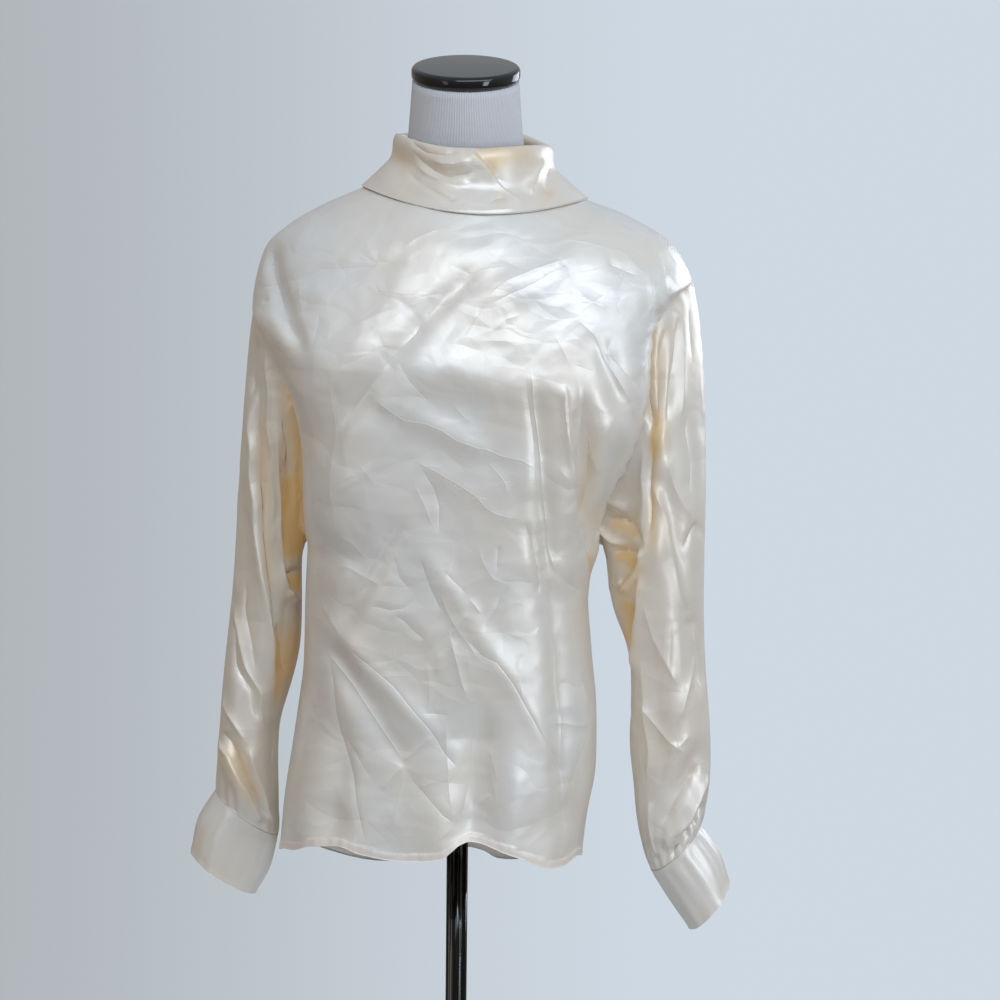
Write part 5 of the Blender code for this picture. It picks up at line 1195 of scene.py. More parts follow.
def undulation(x, z, seed, scale, height=1.0):
    """A smooth random relief of about a height up and down, whose waves are about scale long."""
    rng = np.random.default_rng(seed)
    total = np.zeros(x.shape)
    for _ in range(9):
        angle, phase = rng.uniform(0, 2 * math.pi, 2)
        k = 2 * math.pi / (scale * rng.uniform(0.7, 1.8))
        total += np.sin((x * math.cos(angle) + z * math.sin(angle)) * k + phase)
    return total / 4 * height


def seam_rows():
    """The rows at which front and back are sewn to each other."""
    armhole = range(SHOULDER_STEPS + 1, SHOULDER_STEPS + ARMHOLE_STEPS)
    return [i for i in range(len(body_rows())) if i not in armhole]


def mitre(points, after, before, outward):
    """At a loop of seam points: the direction across the seam, the shared normal and its stretch."""
    tangent = unit(np.roll(points, -1, axis=0) - np.roll(points, 1, axis=0))

    def square_to(vectors):
        return unit(vectors - tangent * (vectors * tangent).sum(1, keepdims=True))

    leaving = square_to(after - points)
    arriving = square_to(points - before)
    across = unit(leaving + arriving)
    facing = unit(np.cross(tangent, across))
    facing *= np.where((facing * outward).sum(1, keepdims=True) < 0, -1, 1)
    cosine = np.clip((across * arriving).sum(1), STEEPEST_MITRE, 1)
    return across, facing, 1 / cosine


def join_panels(front, back):
    """The shoulder and side seams: one normal for both panels, and half the gap taken from each."""
    seams = seam_rows()
    for j, inside in ((0, 1), (-1, -2)):
        shared = unit(front.out[seams, j] + back.out[seams, j])
        front.out[seams, j] = back.out[seams, j] = shared
        for panel in (front, back):
            inward = unit(panel.grid[seams, inside] - panel.grid[seams, j])
            inward = unit(inward - shared * (inward * shared).sum(1, keepdims=True))
            panel.cut[seams, j] += inward * SEAM_GAP / 2


def join_sleeve(front, back, j, inside, rows):
    """An armhole seam at edge column j: the sleeve's piece, cut to meet both panels."""
    tip, under = SHOULDER_STEPS, SHOULDER_STEPS + ARMHOLE_STEPS
    down = list(range(tip, under + 1))
    up = list(range(under - 1, tip, -1))
    loop = np.concatenate([front.grid[down, j], back.grid[up, j]])
    grid = sleeve_grid(rows, loop)
    before = np.concatenate([front.grid[down, inside], back.grid[up, inside]])
    before[0] = front.grid[tip - 1, j]
    before[len(down) - 1] = front.grid[under + 1, j]
    outward = np.concatenate([front.out[down, j], back.out[up, j]])
    across, facing, stretch = mitre(loop, grid[1], before, outward)
    gap = across * SEAM_GAP / 2
    for panel, rows_at, k_at in (
        (front, down, range(len(down))),
        (back, up, range(len(down), len(loop))),
        (back, [tip, under], [0, len(down) - 1]),
    ):
        k_at = list(k_at)
        panel.out[rows_at, j] = facing[k_at]
        panel.stretch[rows_at, j] = stretch[k_at]
        panel.cut[rows_at, j] = panel.grid[rows_at, j] - gap[k_at]
    for i in (tip, under):
        back.cut[i, j, 1] += SEAM_GAP / 2
        front.cut[i, j, 1] -= SEAM_GAP / 2
    return Cloth(grid, ring_normals(grid)), (across, facing, stretch)


def finish_sleeve(sleeve, seam, folds, creases, painted_fold_lines, cuff_rows, settings, seed):
    """The sleeve's folds and creases, and its cuff, cut to meet at the cuff seam."""
    across, facing, stretch = seam
    plain = eased(smoothed(sleeve.grid, SLEEVE_SMOOTHING), sleeve.grid, *SLEEVE_SMOOTH_EASE)
    x, z = plain[..., 0], plain[..., 2]
    height = fold_height(folds, x, z) * settings.fold_depth
    shaped = relief(plain, sleeve.out, height, -1, FOLD_TURN)
    shaped = eased(shaped, plain, *SLEEVE_FOLD_EASE)
    out = ring_normals(shaped)
    xw, zw = wavy(x, z, seed, *WANDER)
    height = crease_height(creases, xw, zw) * SLEEVE_DEPTH
    grid = relief(shaped, out, height * settings.crease_depth, -1, CREASE_TURN)
    share, down = around_and_down(grid)
    height = crease_height_round(settings.fine_creases, share, down, seed)
    height += undulation_round(share, down, seed + 3) * SLEEVE_SWELL
    grid = grid + ring_normals(grid) * (height * settings.crease_depth)[..., None]
    grid = eased(grid, shaped, *SLEEVE_CREASE_EASE)
    grid = gathered(grid, ring_normals(grid), share, down, seed)
    done = Cloth(grid, ring_normals(grid))
    done.glow = painted_fold_share(painted_fold_lines, x, z, out, SLEEVE_PAINTED_SHADE_ALL_OVER)
    done.away, done.rise = crease_lines(creases, xw, zw, out)
    done.out[0], done.stretch[0] = facing, stretch
    done.cut[0] += across * SEAM_GAP / 2

    angles = angles_round(grid.shape[1])
    rings = np.stack([sleeve_ring(cuff_rows, r, angles) for r in cuff_stations()])
    rings = cuffed(rings, ring_normals(rings), settings, seed)
    cuff = Cloth(rings, ring_normals(rings))
    cuff.glow = painted_fold_share([], rings[..., 0], rings[..., 2], cuff.out, CUFF_PAINTED_SHADE_ALL_OVER)
    across, facing, stretch = mitre(rings[0], rings[1], grid[-2], cuff.out[0])
    for piece, i, way in ((done, -1, -1), (cuff, 0, 1)):
        piece.out[i], piece.stretch[i] = facing, stretch
        piece.cut[i] += across * SEAM_GAP / 2 * way
    return done, cuff


def cuff_stations():
    """The r of each cuff ring, closer together at both ends."""
    even = np.linspace(0, 1, CUFF_STEPS + 1)
    return even - 0.1 * np.sin(2 * math.pi * even)


def around_and_down(grid):
    """Each point's distance round its ring, as a share and a length, and down its column."""
    n_rows, n_columns = grid.shape[:2]
    share = np.tile(np.arange(n_columns) / n_columns, (n_rows, 1))
    down = run_lengths(np.linalg.norm(np.diff(grid, axis=0), axis=2).mean(axis=1))
    return share, np.tile(down[:, None], (1, n_columns))


def crease_height_round(count, share, down, seed):
    """Seeded small creases that wrap round a tube and run mostly down it."""
    lengths, rises, reaches, angle, spread = SLEEVE_SMALL
    rng = np.random.default_rng(seed + 40)
    height = np.zeros(share.shape)
    for _ in range(count // 2):
        s, d = rng.uniform(0, SLEEVE_GIRTH), rng.uniform(0, down.max())
        length = rng.uniform(*lengths)
        way = math.radians(angle + rng.normal(0, spread))
        dx, dz = math.cos(way) * length / 2, math.sin(way) * length / 2
        near = (share * SLEEVE_GIRTH - s + SLEEVE_GIRTH / 2) % SLEEVE_GIRTH - SLEEVE_GIRTH / 2
        reach = rng.uniform(*reaches, 2)
        rise = rng.uniform(*rises) * rng.choice([-1, 1])
        crease = ([(-dx, d - dz), (dx, d + dz)], rise, *reach, SMALL_FADE)
        height += crease_height([crease], near, down)
    return height


def undulation_round(share, down, seed):
    """Soft waves that close round a tube and run mostly down it."""
    rng = np.random.default_rng(seed)
    total = np.zeros(share.shape)
    for _ in range(8):
        turns = rng.integers(2, 8)
        phase, drift = rng.uniform(0, 2 * math.pi), rng.uniform(-0.12, 0.12)
        beat = np.sin(down * rng.uniform(0.08, 0.3) + rng.uniform(0, 2 * math.pi))
        total += np.sin(share * 2 * math.pi * turns + phase + down * drift) * beat
    return total / 4


def gathered(grid, out, share, down, seed):
    """Small puckers below the armhole seam and pleats above the cuff seam."""
    fewest_top, most_top, reach_top, rise_top = TOP_GATHERS
    fewest_low, most_low, reach_low, rise_low = CUFF_GATHERS
    rng = np.random.default_rng(seed + 60)
    total_top, total_low = np.zeros(share.shape), np.zeros(share.shape)
    for _ in range(6):
        phase = rng.uniform(0, 2 * math.pi, 2)
        total_top += np.sin(share * 2 * math.pi * rng.integers(fewest_top, most_top) + phase[0])
        total_low += np.sin(share * 2 * math.pi * rng.integers(fewest_low, most_low) + phase[1])
    near_top = down / reach_top * np.exp(1 - down / reach_top)
    up = down.max() - down
    near_low = up / reach_low * np.exp(1 - up / reach_low)
    height = total_top * rise_top * near_top + total_low * rise_low * near_low
    return grid + out * height[..., None]


def cuffed(rings, out, settings, seed):
    """A doubled cuff: a little thicker at its lower edge, with slight unevenness."""
    share, down = around_and_down(rings)
    edge = np.exp(-(((down.max() - down) / CUFF_EDGE_REACH) ** 2)) * CUFF_EDGE
    soft = undulation_round(share, down, seed + 9) * CUFF_SWELL
    soft += undulation_round(share * 2, down, seed + 10) * CUFF_SWELL
    return rings + out * (edge + soft * smoothstep(down) * settings.crease_depth)[..., None]


def join_collar(front, back, settings):
    """The neck seam: the collar's piece, cut to meet both panels. Its out side is the one that shows."""
    grid = collar_grid()
    grid[0] = closed_loop(front.grid[0], back.grid[0])
    before = closed_loop(front.grid[1], back.grid[1])
    outward = closed_loop(front.out[0], back.out[0])
    across, facing, stretch = mitre(grid[0], grid[1], before, outward)
    n = FRONT_COLUMNS + 1
    round_front = np.arange(n)
    round_back = np.concatenate([[0], np.arange(len(grid[0]) - 1, n - 1, -1), [n - 1]])
    for panel, along in ((front, round_front), (back, round_back)):
        panel.cut[0] -= across[along] * SEAM_GAP / 2
        panel.out[0] = facing[along]
        panel.stretch[0] = stretch[along]
    toward = np.zeros(grid.shape)
    middle = COLLAR_STEPS * 3 // 4
    toward[middle] = grid[middle] - grid[middle].mean(axis=0)
    out = normals(grid, toward, around=True)
    x, z = grid[..., 0], grid[..., 2]
    seed = SEEDS["collar"]
    xw, zw = wavy(x, z, seed, *COLLAR_WANDER)
    height = crease_height(COLLAR_CREASES, xw, zw) + undulation(x, z, seed + 1, *COLLAR_SWELL)
    height += fold_height(COLLAR_FOLDS, x, z)
    shaped = relief(grid, out, height * settings.crease_depth, -1, COLLAR_TURN)
    behind = undulation(x, z, seed + 2, *COLLAR_SWELL_BACK)
    shaped = relief(shaped, out, behind * settings.crease_depth, 1, COLLAR_TURN)
    shaped = eased(shaped, grid, *COLLAR_EASE)
    collar = Cloth(shaped, normals(shaped, toward, around=True))
    collar.away, collar.rise = crease_lines(COLLAR_CREASES, xw, zw, out)
    collar.glow = painted_fold_share(COLLAR_PAINTED_FOLD_LINES, x, z, out, COLLAR_PAINTED_SHADE_ALL_OVER)
    collar.out[0], collar.stretch[0] = -facing, stretch
    collar.cut[0] += across * SEAM_GAP / 2
    return collar


@functools.cache
def garment(settings):
    """Every cloth piece by name. The pieces share seams, so they are worked out together, once."""
    front, back = body_panels(settings)
    join_panels(front, back)
    left, left_seam = join_sleeve(front, back, -1, -2, LEFT_SLEEVE)
    right, right_seam = join_sleeve(front, back, 0, 1, RIGHT_SLEEVE)
    collar = join_collar(front, back, settings)
    lines = LEFT_SLEEVE_FOLDS, LEFT_SLEEVE_CREASES, LEFT_SLEEVE_PAINTED_FOLD_LINES, LEFT_CUFF
    left, left_cuff = finish_sleeve(left, left_seam, *lines, settings, SEEDS["sleeve_left"])
    lines = RIGHT_SLEEVE_FOLDS, RIGHT_SLEEVE_CREASES, RIGHT_SLEEVE_PAINTED_FOLD_LINES, RIGHT_CUFF
    right, right_cuff = finish_sleeve(right, right_seam, *lines, settings, SEEDS["sleeve_right"])
    return {
        "front": front,
        "back": back,
        "sleeve_left": left,
        "sleeve_right": right,
        "cuff_left": left_cuff,
        "cuff_right": right_cuff,
        "collar": collar,
    }


def cloth_pieces(context):
    """The garment for the sidebar's numbers."""
    chosen = context.scene.blouse_cloth
    return garment(GarmentNumbers(*(getattr(chosen, name) for name in GarmentNumbers._fields)))


class Socket:
    """A node's output. Arithmetic on it adds Math nodes."""

    def __init__(self, nodes, output):
        self.nodes = nodes
        self.output = output

    def math(self, operation, first, second=0.0):
        return self.nodes.add("ShaderNodeMath", {"operation": operation}, {0: first, 1: second})

    def __add__(self, other):
        return self.math("ADD", self, other)

    def __sub__(self, other):
        return self.math("SUBTRACT", self, other)

    def __rsub__(self, other):
        return self.math("SUBTRACT", other, self)

    def __mul__(self, other):
        return self.math("MULTIPLY", self, other)

    def __truediv__(self, other):
        return self.math("DIVIDE", self, other)

    def __rtruediv__(self, other):
        return self.math("DIVIDE", other, self)

    def __pow__(self, other):
        return self.math("POWER", self, other)

    def __rpow__(self, other):
        return self.math("POWER", other, self)

    def sine(self):
        return self.math("SINE", self)

    def over(self, low, high):
        """0 below low, 1 above high, and smooth between."""
        settings = {"interpolation_type": "SMOOTHSTEP"}
        return self.nodes.add("ShaderNodeMapRange", settings, {0: self, 1: low, 2: high})

    __radd__ = __add__
    __rmul__ = __mul__


class Nodes:
    """A node tree under construction."""

    def __init__(self, tree):
        self.tree = tree
        tree.nodes.clear()

    def add(self, kind, settings=None, inputs=None, output=0):
        """A node with its settings and inputs. Its chosen output comes back."""
        node = self.tree.nodes.new(kind)
        for name, value in (settings or {}).items():
            setattr(node, name, value)
        for key, value in (inputs or {}).items():
            if isinstance(value, Socket):
                self.tree.links.new(value.output, node.inputs[key])
            else:
                node.inputs[key].default_value = value
        return Socket(self, node.outputs[output]) if node.outputs else None

    def mix(self, share, first, second):
        """A colour between two colours."""
        settings = {"data_type": "RGBA"}
        return self.add("ShaderNodeMix", settings, {0: share, 6: first, 7: second}, output=2)

    def place(self, output="Object"):
        """Where a point lies on its piece, in metres, or where a ray goes."""
        return self.add("ShaderNodeTexCoord", None, None, output)

    def kept(self, name, output="Fac"):
        """A value kept with the mesh's points."""
        return self.add("ShaderNodeAttribute", {"attribute_name": name}, None, output)

    def noise(self, vector, scale, detail=2.0, output=0):
        inputs = {"Vector": vector, "Scale": scale, "Detail": detail}
        return self.add("ShaderNodeTexNoise", None, inputs, output)

    def parts(self, vector):
        """The three parts of a vector."""
        node = self.add("ShaderNodeSeparateXYZ", None, {0: vector}).output.node
        return [Socket(self, output) for output in node.outputs]

    def facets(self, vector, size, turn, stretch):
        """Flat facets of a size in metres with sharp edges between, as a height from 0 to about 0.4."""
        rotation = (0.0, math.radians(turn), 0.0)
        inputs = {"Vector": vector, "Rotation": rotation, "Scale": (1 / stretch, 1.0, 1.0)}
        turned = self.add("ShaderNodeMapping", None, inputs)
        settings = {"feature": "DISTANCE_TO_EDGE"}
        return self.add("ShaderNodeTexVoronoi", settings, {"Vector": turned, "Scale": 1 / size})

    def stretched(self, vector, x, y, z):
        """A vector multiplied part by part."""
        return self.add("ShaderNodeVectorMath", {"operation": "MULTIPLY"}, {0: vector, 1: (x, y, z)})

    def bump(self, height, strength, distance):
        inputs = {"Height": height, "Strength": strength, "Distance": distance}
        return self.add("ShaderNodeBump", None, inputs)


def new_material(name):
    """A material and the means to add its nodes."""
    material = bpy.data.materials.new(name)
    material.use_nodes = True
    return material, Nodes(material.node_tree)


def finish_material(nodes, inputs):
    shader = nodes.add("ShaderNodeBsdfPrincipled", None, inputs)
    nodes.add("ShaderNodeOutputMaterial", None, {"Surface": shader})


def rgb(red, green, blue):
    return (red, green, blue, 1.0)


def pressed_lines(nodes):
    """The height of the thin lines down pressed creases, in mm."""
    away = nodes.parts(nodes.kept("line_away", "Vector"))
    rise = nodes.parts(nodes.kept("line_rise", "Vector"))
    height = 0.0
    for k in range(LINE_SETS):
        share = 1.0 - away[k].math("ABSOLUTE", away[k]) / LINE_WIDTH
        near = share.math("MAXIMUM", share, 0.0)
        height = rise[k] * near * near + height
    return height * LINE_HEIGHT


def lain_facets(nodes, place):
    """The height of the finest facets, in mm. They come and go, and are higher on the chest."""
    settings = {"operation": "MULTIPLY_ADD"}
    inputs = {0: nodes.noise(place, 22.0, 1.0, "Color"), 1: (0.022, 0.022, 0.022), 2: place}
    warped = nodes.add("ShaderNodeVectorMath", settings, inputs)
    chest = nodes.parts(place)[2].over(1.13, 1.24)
    where = nodes.noise(place, 7.0, 1.0).over(0.38, 0.62)
    large = nodes.facets(warped, 0.05, 60.0, 1.8)
    small = nodes.facets(warped, 0.026, -40.0, 1.7)
    facets = large * 1.6 * (where * 0.7 + 0.3) + small * (chest * 0.5 + 0.25) * (1.2 - where)
    return facets * FACET_HEIGHT


@functools.cache
def silk_material():
    """Ivory satin: a broad gloss, a faint change of tone, a creamier turned hem, and painted golden shade
    with a faint painted emitted light in deep folds.
    """
    material, nodes = new_material("silk_satin")
    place = nodes.place()
    cloudy = nodes.noise(place, 9.0, 3.0)
    patchy = nodes.noise(place, 42.0)
    slub = nodes.noise(nodes.stretched(place, 1.0, 1.0, 0.16), 900.0)
    tone, glow = nodes.kept("tone"), nodes.kept("glow")
    ground = nodes.mix(cloudy.over(0.35, 0.68), SILK_WARM, SILK_COOL)
    weave = (slub * 0.5 + patchy * 0.8) * 0.06
    height = pressed_lines(nodes) + lain_facets(nodes, place) + weave
    finish_material(
        nodes,
        {
            # Base colour: painted golden shade where the fold mask is high.
            "Base Color": nodes.mix(glow * 0.9, nodes.mix(tone * 0.5, ground, SILK_HEM), PAINTED_FOLD_SHADE_COLOUR),
            "Roughness": 0.40 + patchy * 0.08 + tone * 0.1,
            "Specular IOR Level": 0.9,
            "Metallic": 0.3,
            "Coat Weight": 0.4,
            "Coat Roughness": 0.3,
            # Painted emitted light in the same deep folds; the cloth is no lamp.
            "Emission Color": nodes.mix(glow, rgb(0.0, 0.0, 0.0), PAINTED_FOLD_LIGHT_COLOUR),
            "Emission Strength": 1.0,
            "Sheen Weight": 0.12,
            "Sheen Roughness": 0.4,
            "Normal": nodes.bump(height, 1.0, 0.001),
        },
    )
    return material


@functools.cache
def thread_material():
    """Matt silk thread, a little lighter than the hem."""
    material, nodes = new_material("silk_thread")
    inputs = {"Base Color": rgb(0.93, 0.90, 0.85), "Roughness": 0.5, "Sheen Weight": 0.2}
    finish_material(nodes, inputs)
    return material


@functools.cache
def jersey_material(ribs):
    """White knit with fine upright ribs all round. Its colour is painted darker in the grooves between the
    ribs: painted shade.
    """
    material, nodes = new_material("rib_jersey")
    place = nodes.place()
    x, y, z = nodes.parts(place)
    x_middle, y_middle = NECK_MIDDLE
    angle = x.math("ARCTAN2", y - y_middle, x - x_middle)
    ribs_and_groove_shade = ((angle * float(ribs)).sine() * 0.5 + 0.5) ** 0.6
    course = (z * JERSEY_COURSES).sine() * 0.5 + 0.5
    soft = nodes.noise(place, 260.0, 3.0)
    height = ribs_and_groove_shade + course * 0.15 + soft * 0.35
    finish_material(
        nodes,
        {
            # Base colour: painted shade, darker in the grooves between the ribs.
            "Base Color": nodes.mix(ribs_and_groove_shade, rgb(0.50, 0.50, 0.52), rgb(0.70, 0.70, 0.72)),
            "Roughness": 0.92,
            "Sheen Weight": 0.25,
            "Sheen Roughness": 0.5,
            "Normal": nodes.bump(height, 0.5, 0.0007),
        },
    )
    return material


@functools.cache
def black_material():
    """Glossy black lacquer with a trace of dust and wear in its gloss."""
    material, nodes = new_material("black_lacquer")
    haze = nodes.noise(nodes.place(), 30.0, 4.0)
    finish_material(
        nodes,
        {
            "Base Color": rgb(0.006, 0.006, 0.007),
            "Roughness": 0.07 + haze.over(0.5, 0.8) * 0.1,
            "Specular IOR Level": 0.4,
            "Coat Weight": 0.3,
            "Coat Roughness": 0.05,
        },
    )
    return material


@functools.cache
def chrome_material():
    """Polished tube, with faint long draw marks in its roughness and bump. Its base colour is a painted
    reflection: near black, with lighter long streaks.
    """
    material, nodes = new_material("chrome_tube")
    draw_marks_and_painted_streaks = nodes.noise(nodes.stretched(nodes.place(), 60.0, 60.0, 0.5), 9.0)
    finish_material(
        nodes,
        {
            # Base colour: a painted reflection, near black with lighter long streaks.
            "Base Color": nodes.mix(draw_marks_and_painted_streaks.over(0.56, 0.62), rgb(0.02, 0.019, 0.018), rgb(0.22, 0.22, 0.21)),
            "Metallic": 1.0,
            "Roughness": 0.06 + draw_marks_and_painted_streaks * 0.08,
            "Normal": nodes.bump(draw_marks_and_painted_streaks, 0.05, 0.0003),
        },
    )
    return material


def lathe(name, profile, material, columns, centre=(0, 0, 0), tilt=0):
    """A solid of revolution: (radius, height) points about an axis tilted forwards by tilt degrees."""
    angles = angles_round(columns)
    lean = math.radians(tilt)
    axis = np.array([0.0, -math.sin(lean), math.cos(lean)])
    aside = np.array([0.0, math.cos(lean), math.sin(lean)])
    ring = np.outer(np.cos(angles), [1.0, 0, 0]) + np.outer(np.sin(angles), aside)
    rings = [np.array(centre) + ring * radius + axis * height for radius, height in profile]
    return lofted(name, np.array(rings), material)


def lofted(name, rings, material):
    """A closed solid through rings of equal count that run upwards, capped at both ends."""
    n_rings, n = rings.shape[:2]
    faces = grid_faces(n_rings, n, True, 0, True)
    faces.append(list(range(n))[::-1])
    faces.append([(n_rings - 1) * n + j for j in range(n)])
    return mesh_object(name, rings.reshape(-1, 3), faces, material)


def rounded(points, radius, steps=5):
    """A profile with each inner corner rounded off."""
    found = [points[0]]
    for before, corner, after in zip(points, points[1:], points[2:]):
        a, b, c = np.array(before), np.array(corner), np.array(after)
        one, two = np.linalg.norm(a - b), np.linalg.norm(c - b)
        near = min(radius, one * 0.45, two * 0.45)
        start, end = b + (a - b) / one * near, b + (c - b) / two * near
        for t in np.linspace(0, 1, steps + 1):
            found.append(tuple(start * (1 - t) ** 2 + 2 * b * t * (1 - t) + end * t**2))
    return found + [points[-1]]


def torso_object(columns, material):
    """The form's torso and neck, through rings between those of its table."""
    cos, sin = np.cos(angles_round(columns)), np.sin(angles_round(columns))
    heights = TORSO_RINGS["z"]
    stations = []
    for low, high in zip(heights, heights[1:]):
        stations += list(np.linspace(low, high, TORSO_STEPS + 1)[:-1])
    rings = []
    for z in stations + [heights[-1]]:
        row = {name: float(column(TORSO_RINGS, name, z)) for name in TORSO_RINGS if name != "z"}
        y_mid = (row["y_front"] + row["y_back"]) / 2
        depth = (row["y_back"] - row["y_front"]) / 2
        y = y_mid - depth * powered(sin, 2 / row["square"])
        x = row["x_mid"] + row["half"] * powered(cos, 2 / row["square"])
        lifted = z + (y - y_mid) * math.tan(math.radians(row["tilt"]))
        rings.append(np.stack([x, y, lifted], axis=1))
    return lofted("torso_form", np.array(rings), material)


def cap_profile():
    """The cap's outline as radius and height, with a rounded rim below and above."""
    profile = [(CAP_CORE, -CAP_THICKNESS), (CAP_RADIUS - CAP_EDGE, -CAP_THICKNESS)]
    for a in np.radians(np.linspace(-80, 90, 18)):
        level = -CAP_EDGE if a > 0 else CAP_EDGE - CAP_THICKNESS
        radius = CAP_RADIUS - CAP_EDGE * (1 - math.cos(a))
        profile.append((radius, level + CAP_EDGE * math.sin(a)))
    return profile + [(CAP_CORE, 0.0)]


def stitch_run(points, out, spacing, length, thickness):
    """Short thread stitches along a line of surface points, as vertices and faces."""
    along = run_lengths(np.linalg.norm(np.diff(points, axis=0), axis=1))
    vertices, faces = [], []
    for k in range(int(along[-1] / spacing)):
        middle = (k + 0.5) * spacing
        before, centre, after = (at_length(points, along, middle + s) for s in (-0.02, 0, 0.02))
        way = unit(after - before)
        up = unit(at_length(out, along, middle))
        aside = unit(np.cross(way, up))
        base = len(vertices)
        for share, width in THREAD_RINGS:
            ring = centre + way * share * length + up * (thickness * 0.25 * width)
            for side in range(THREAD_SIDES):
                a = 2 * math.pi * side / THREAD_SIDES
                spread = aside * math.cos(a) + up * math.sin(a)
                vertices.append(ring + spread * (thickness / 2 * width))
        last = base + (len(THREAD_RINGS) - 1) * THREAD_SIDES
        for a in range(base, last, THREAD_SIDES):
            b = a + THREAD_SIDES
            for side in range(THREAD_SIDES):
                beside = (side + 1) % THREAD_SIDES
                faces.append([a + side, a + beside, b + beside, b + side])
        faces.append([base + side for side in range(THREAD_SIDES)][::-1])
        faces.append([last + side for side in range(THREAD_SIDES)])
    return vertices, faces


def hem_line(cloth, width):
    """The points and normals of a panel's outer side, one stitch line up from its hem."""
    away = from_hem(cloth.grid)
    outer = cloth.cut + cloth.out * (cloth.stretch * WALL / 2)[..., None]
    points, out = [], []
    for j in range(2, cloth.grid.shape[1] - 2):
        order = np.argsort(away[:, j])
        near = away[order, j]
        points.append(at_length(outer[order, j], near, width - STITCH_INSET))
        out.append(at_length(cloth.out[order, j], near, width - STITCH_INSET))
    return np.array(points), np.array(out)


class ClothSettings(PropertyGroup):
    fold_depth: FloatProperty(
        name="Fold Depth", description="Depth of the broad folds", default=1.0, min=0, max=2
    )
    crease_depth: FloatProperty(
        name="Crease Depth", description="Depth of the pressed creases", default=1.2, min=0, max=2
    )
    fine_creases: IntProperty(
        name="Fine Creases", description="Number of small creases on each panel", default=110, min=0
    )
    hem_width: FloatProperty(
        name="Hem Width", description="Width of the turned hem", default=0.008, unit="LENGTH"
    )
    stitch_length: FloatProperty(
        name="Stitch Length", description="Length of one hem stitch", default=0.0024, unit="LENGTH"
    )


class FormSettings(PropertyGroup):
    ribs: IntProperty(
        name="Ribs", description="Knit ribs round the jersey", default=200, min=10
    )
    columns: IntProperty(
        name="Columns", description="Mesh steps round the form's pieces", default=128, min=32
    )


class StageSettings(PropertyGroup):
    key_power: FloatProperty(
        name="Key Power", description="Power of the main soft light", default=25, unit="POWER"
    )
    side_power: FloatProperty(
        name="Side Power", description="Power of the light from the wearer's left", default=6, unit="POWER"
    )
    fill_power: FloatProperty(
        name="Fill Power", description="Power of the light from the wearer's right", default=1.2, unit="POWER"
    )
    rear_power: FloatProperty(
        name="Rear Power", description="Power of the soft light behind", default=18, unit="POWER"
    )
    floor_radius: FloatProperty(
        name="Floor Radius", description="Radius of the floor disc", default=1.1, unit="LENGTH"
    )
    focal_length: FloatProperty(
        name="Focal Length", description="Camera lens in millimetres", default=72.0
    )


def place_cloth(context, name, around=True):
    """One cloth piece: its shell and its cut."""
    piece = shell(name + "_cloth", cloth_pieces(context)[name], silk_material(), around)
    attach(piece, "root")
    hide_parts(name)


def hem_stitches(context, name):
    """The thread along a panel's hem."""
    chosen = context.scene.blouse_cloth
    length = chosen.stitch_length / CM
    points, out = hem_line(cloth_pieces(context)[name], chosen.hem_width / CM)
    vertices, faces = stitch_run(points, out, length * STITCH_PITCH, length, THREAD)
    piece = mesh_object(name + "_hem_stitches", vertices, faces, thread_material())
    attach(piece, "root")
    return piece


class BLOUSE_OT_body(Operator):
    """Build the front and the back, with their hem stitches"""

    bl_idname = "blouse.body"
    bl_label = "Front and Back"

    def execute(self, context):
        for name in ("front", "back"):
            thread = hem_stitches(context, name)
            place_cloth(context, name, around=False)
        return {"FINISHED"}


class BLOUSE_OT_sleeves(Operator):
    """Build both sleeves"""

    bl_idname = "blouse.sleeves"
    bl_label = "Sleeves"

    def execute(self, context):
        place_cloth(context, "sleeve_left")
        place_cloth(context, "sleeve_right")
        return {"FINISHED"}


class BLOUSE_OT_cuffs(Operator):
    """Build both cuffs"""

    bl_idname = "blouse.cuffs"
    bl_label = "Cuffs"

    def execute(self, context):
        place_cloth(context, "cuff_left")
        place_cloth(context, "cuff_right")
        return {"FINISHED"}


class BLOUSE_OT_collar(Operator):
    """Build the turn-over collar"""

    bl_idname = "blouse.collar"
    bl_label = "Collar"

    def execute(self, context):
        place_cloth(context, "collar")
        return {"FINISHED"}


class BLOUSE_OT_form(Operator):
    """Build the dress form: torso, cap, pole and base"""

    bl_idname = "blouse.form"
    bl_label = "Dress Form"

    def execute(self, context):
        chosen = context.scene.blouse_form
        torso = torso_object(chosen.columns, jersey_material(chosen.ribs))
        cap = lathe("cap_disc", cap_profile(), black_material(), chosen.columns, CAP_CENTRE, CAP_TILT)
        bottom = BASE["height"][-1] + SEAM_GAP
        top = TORSO_RINGS["z"][0] - SEAM_GAP
        tube = [(POLE_RADIUS, bottom), (POLE_RADIUS, top)]
        pole = lathe("pole_tube", tube, chrome_material(), chosen.columns)
        outline = rounded(list(zip(BASE["radius"], BASE["height"])), BASE_EDGE)
        base = lathe("base_plate", outline, chrome_material(), chosen.columns)
        for piece, node, slot in (
            (torso, "torso", "jersey"),
            (cap, "neck_cap", "black_gloss"),
            (pole, "pole", "chrome"),
            (base, "base", "chrome"),
        ):
            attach(piece, "root")
            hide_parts(node)
        return {"FINISHED"}


def area_light(name, place, at, size, colour, power):
    """A rectangular light at a place, turned so that it shines at a point."""
    light = bpy.data.lights.new(name, "AREA")
    light.shape = "RECTANGLE"
    light.size, light.size_y = size
    light.energy = power
    light.color = colour
    item = bpy.data.objects.new(name, light)
    item.location = place
    way = Vector(at) - item.location
    item.rotation_euler = way.to_track_quat("-Z", "Y").to_euler()
    bpy.context.scene.collection.objects.link(item)
    return item


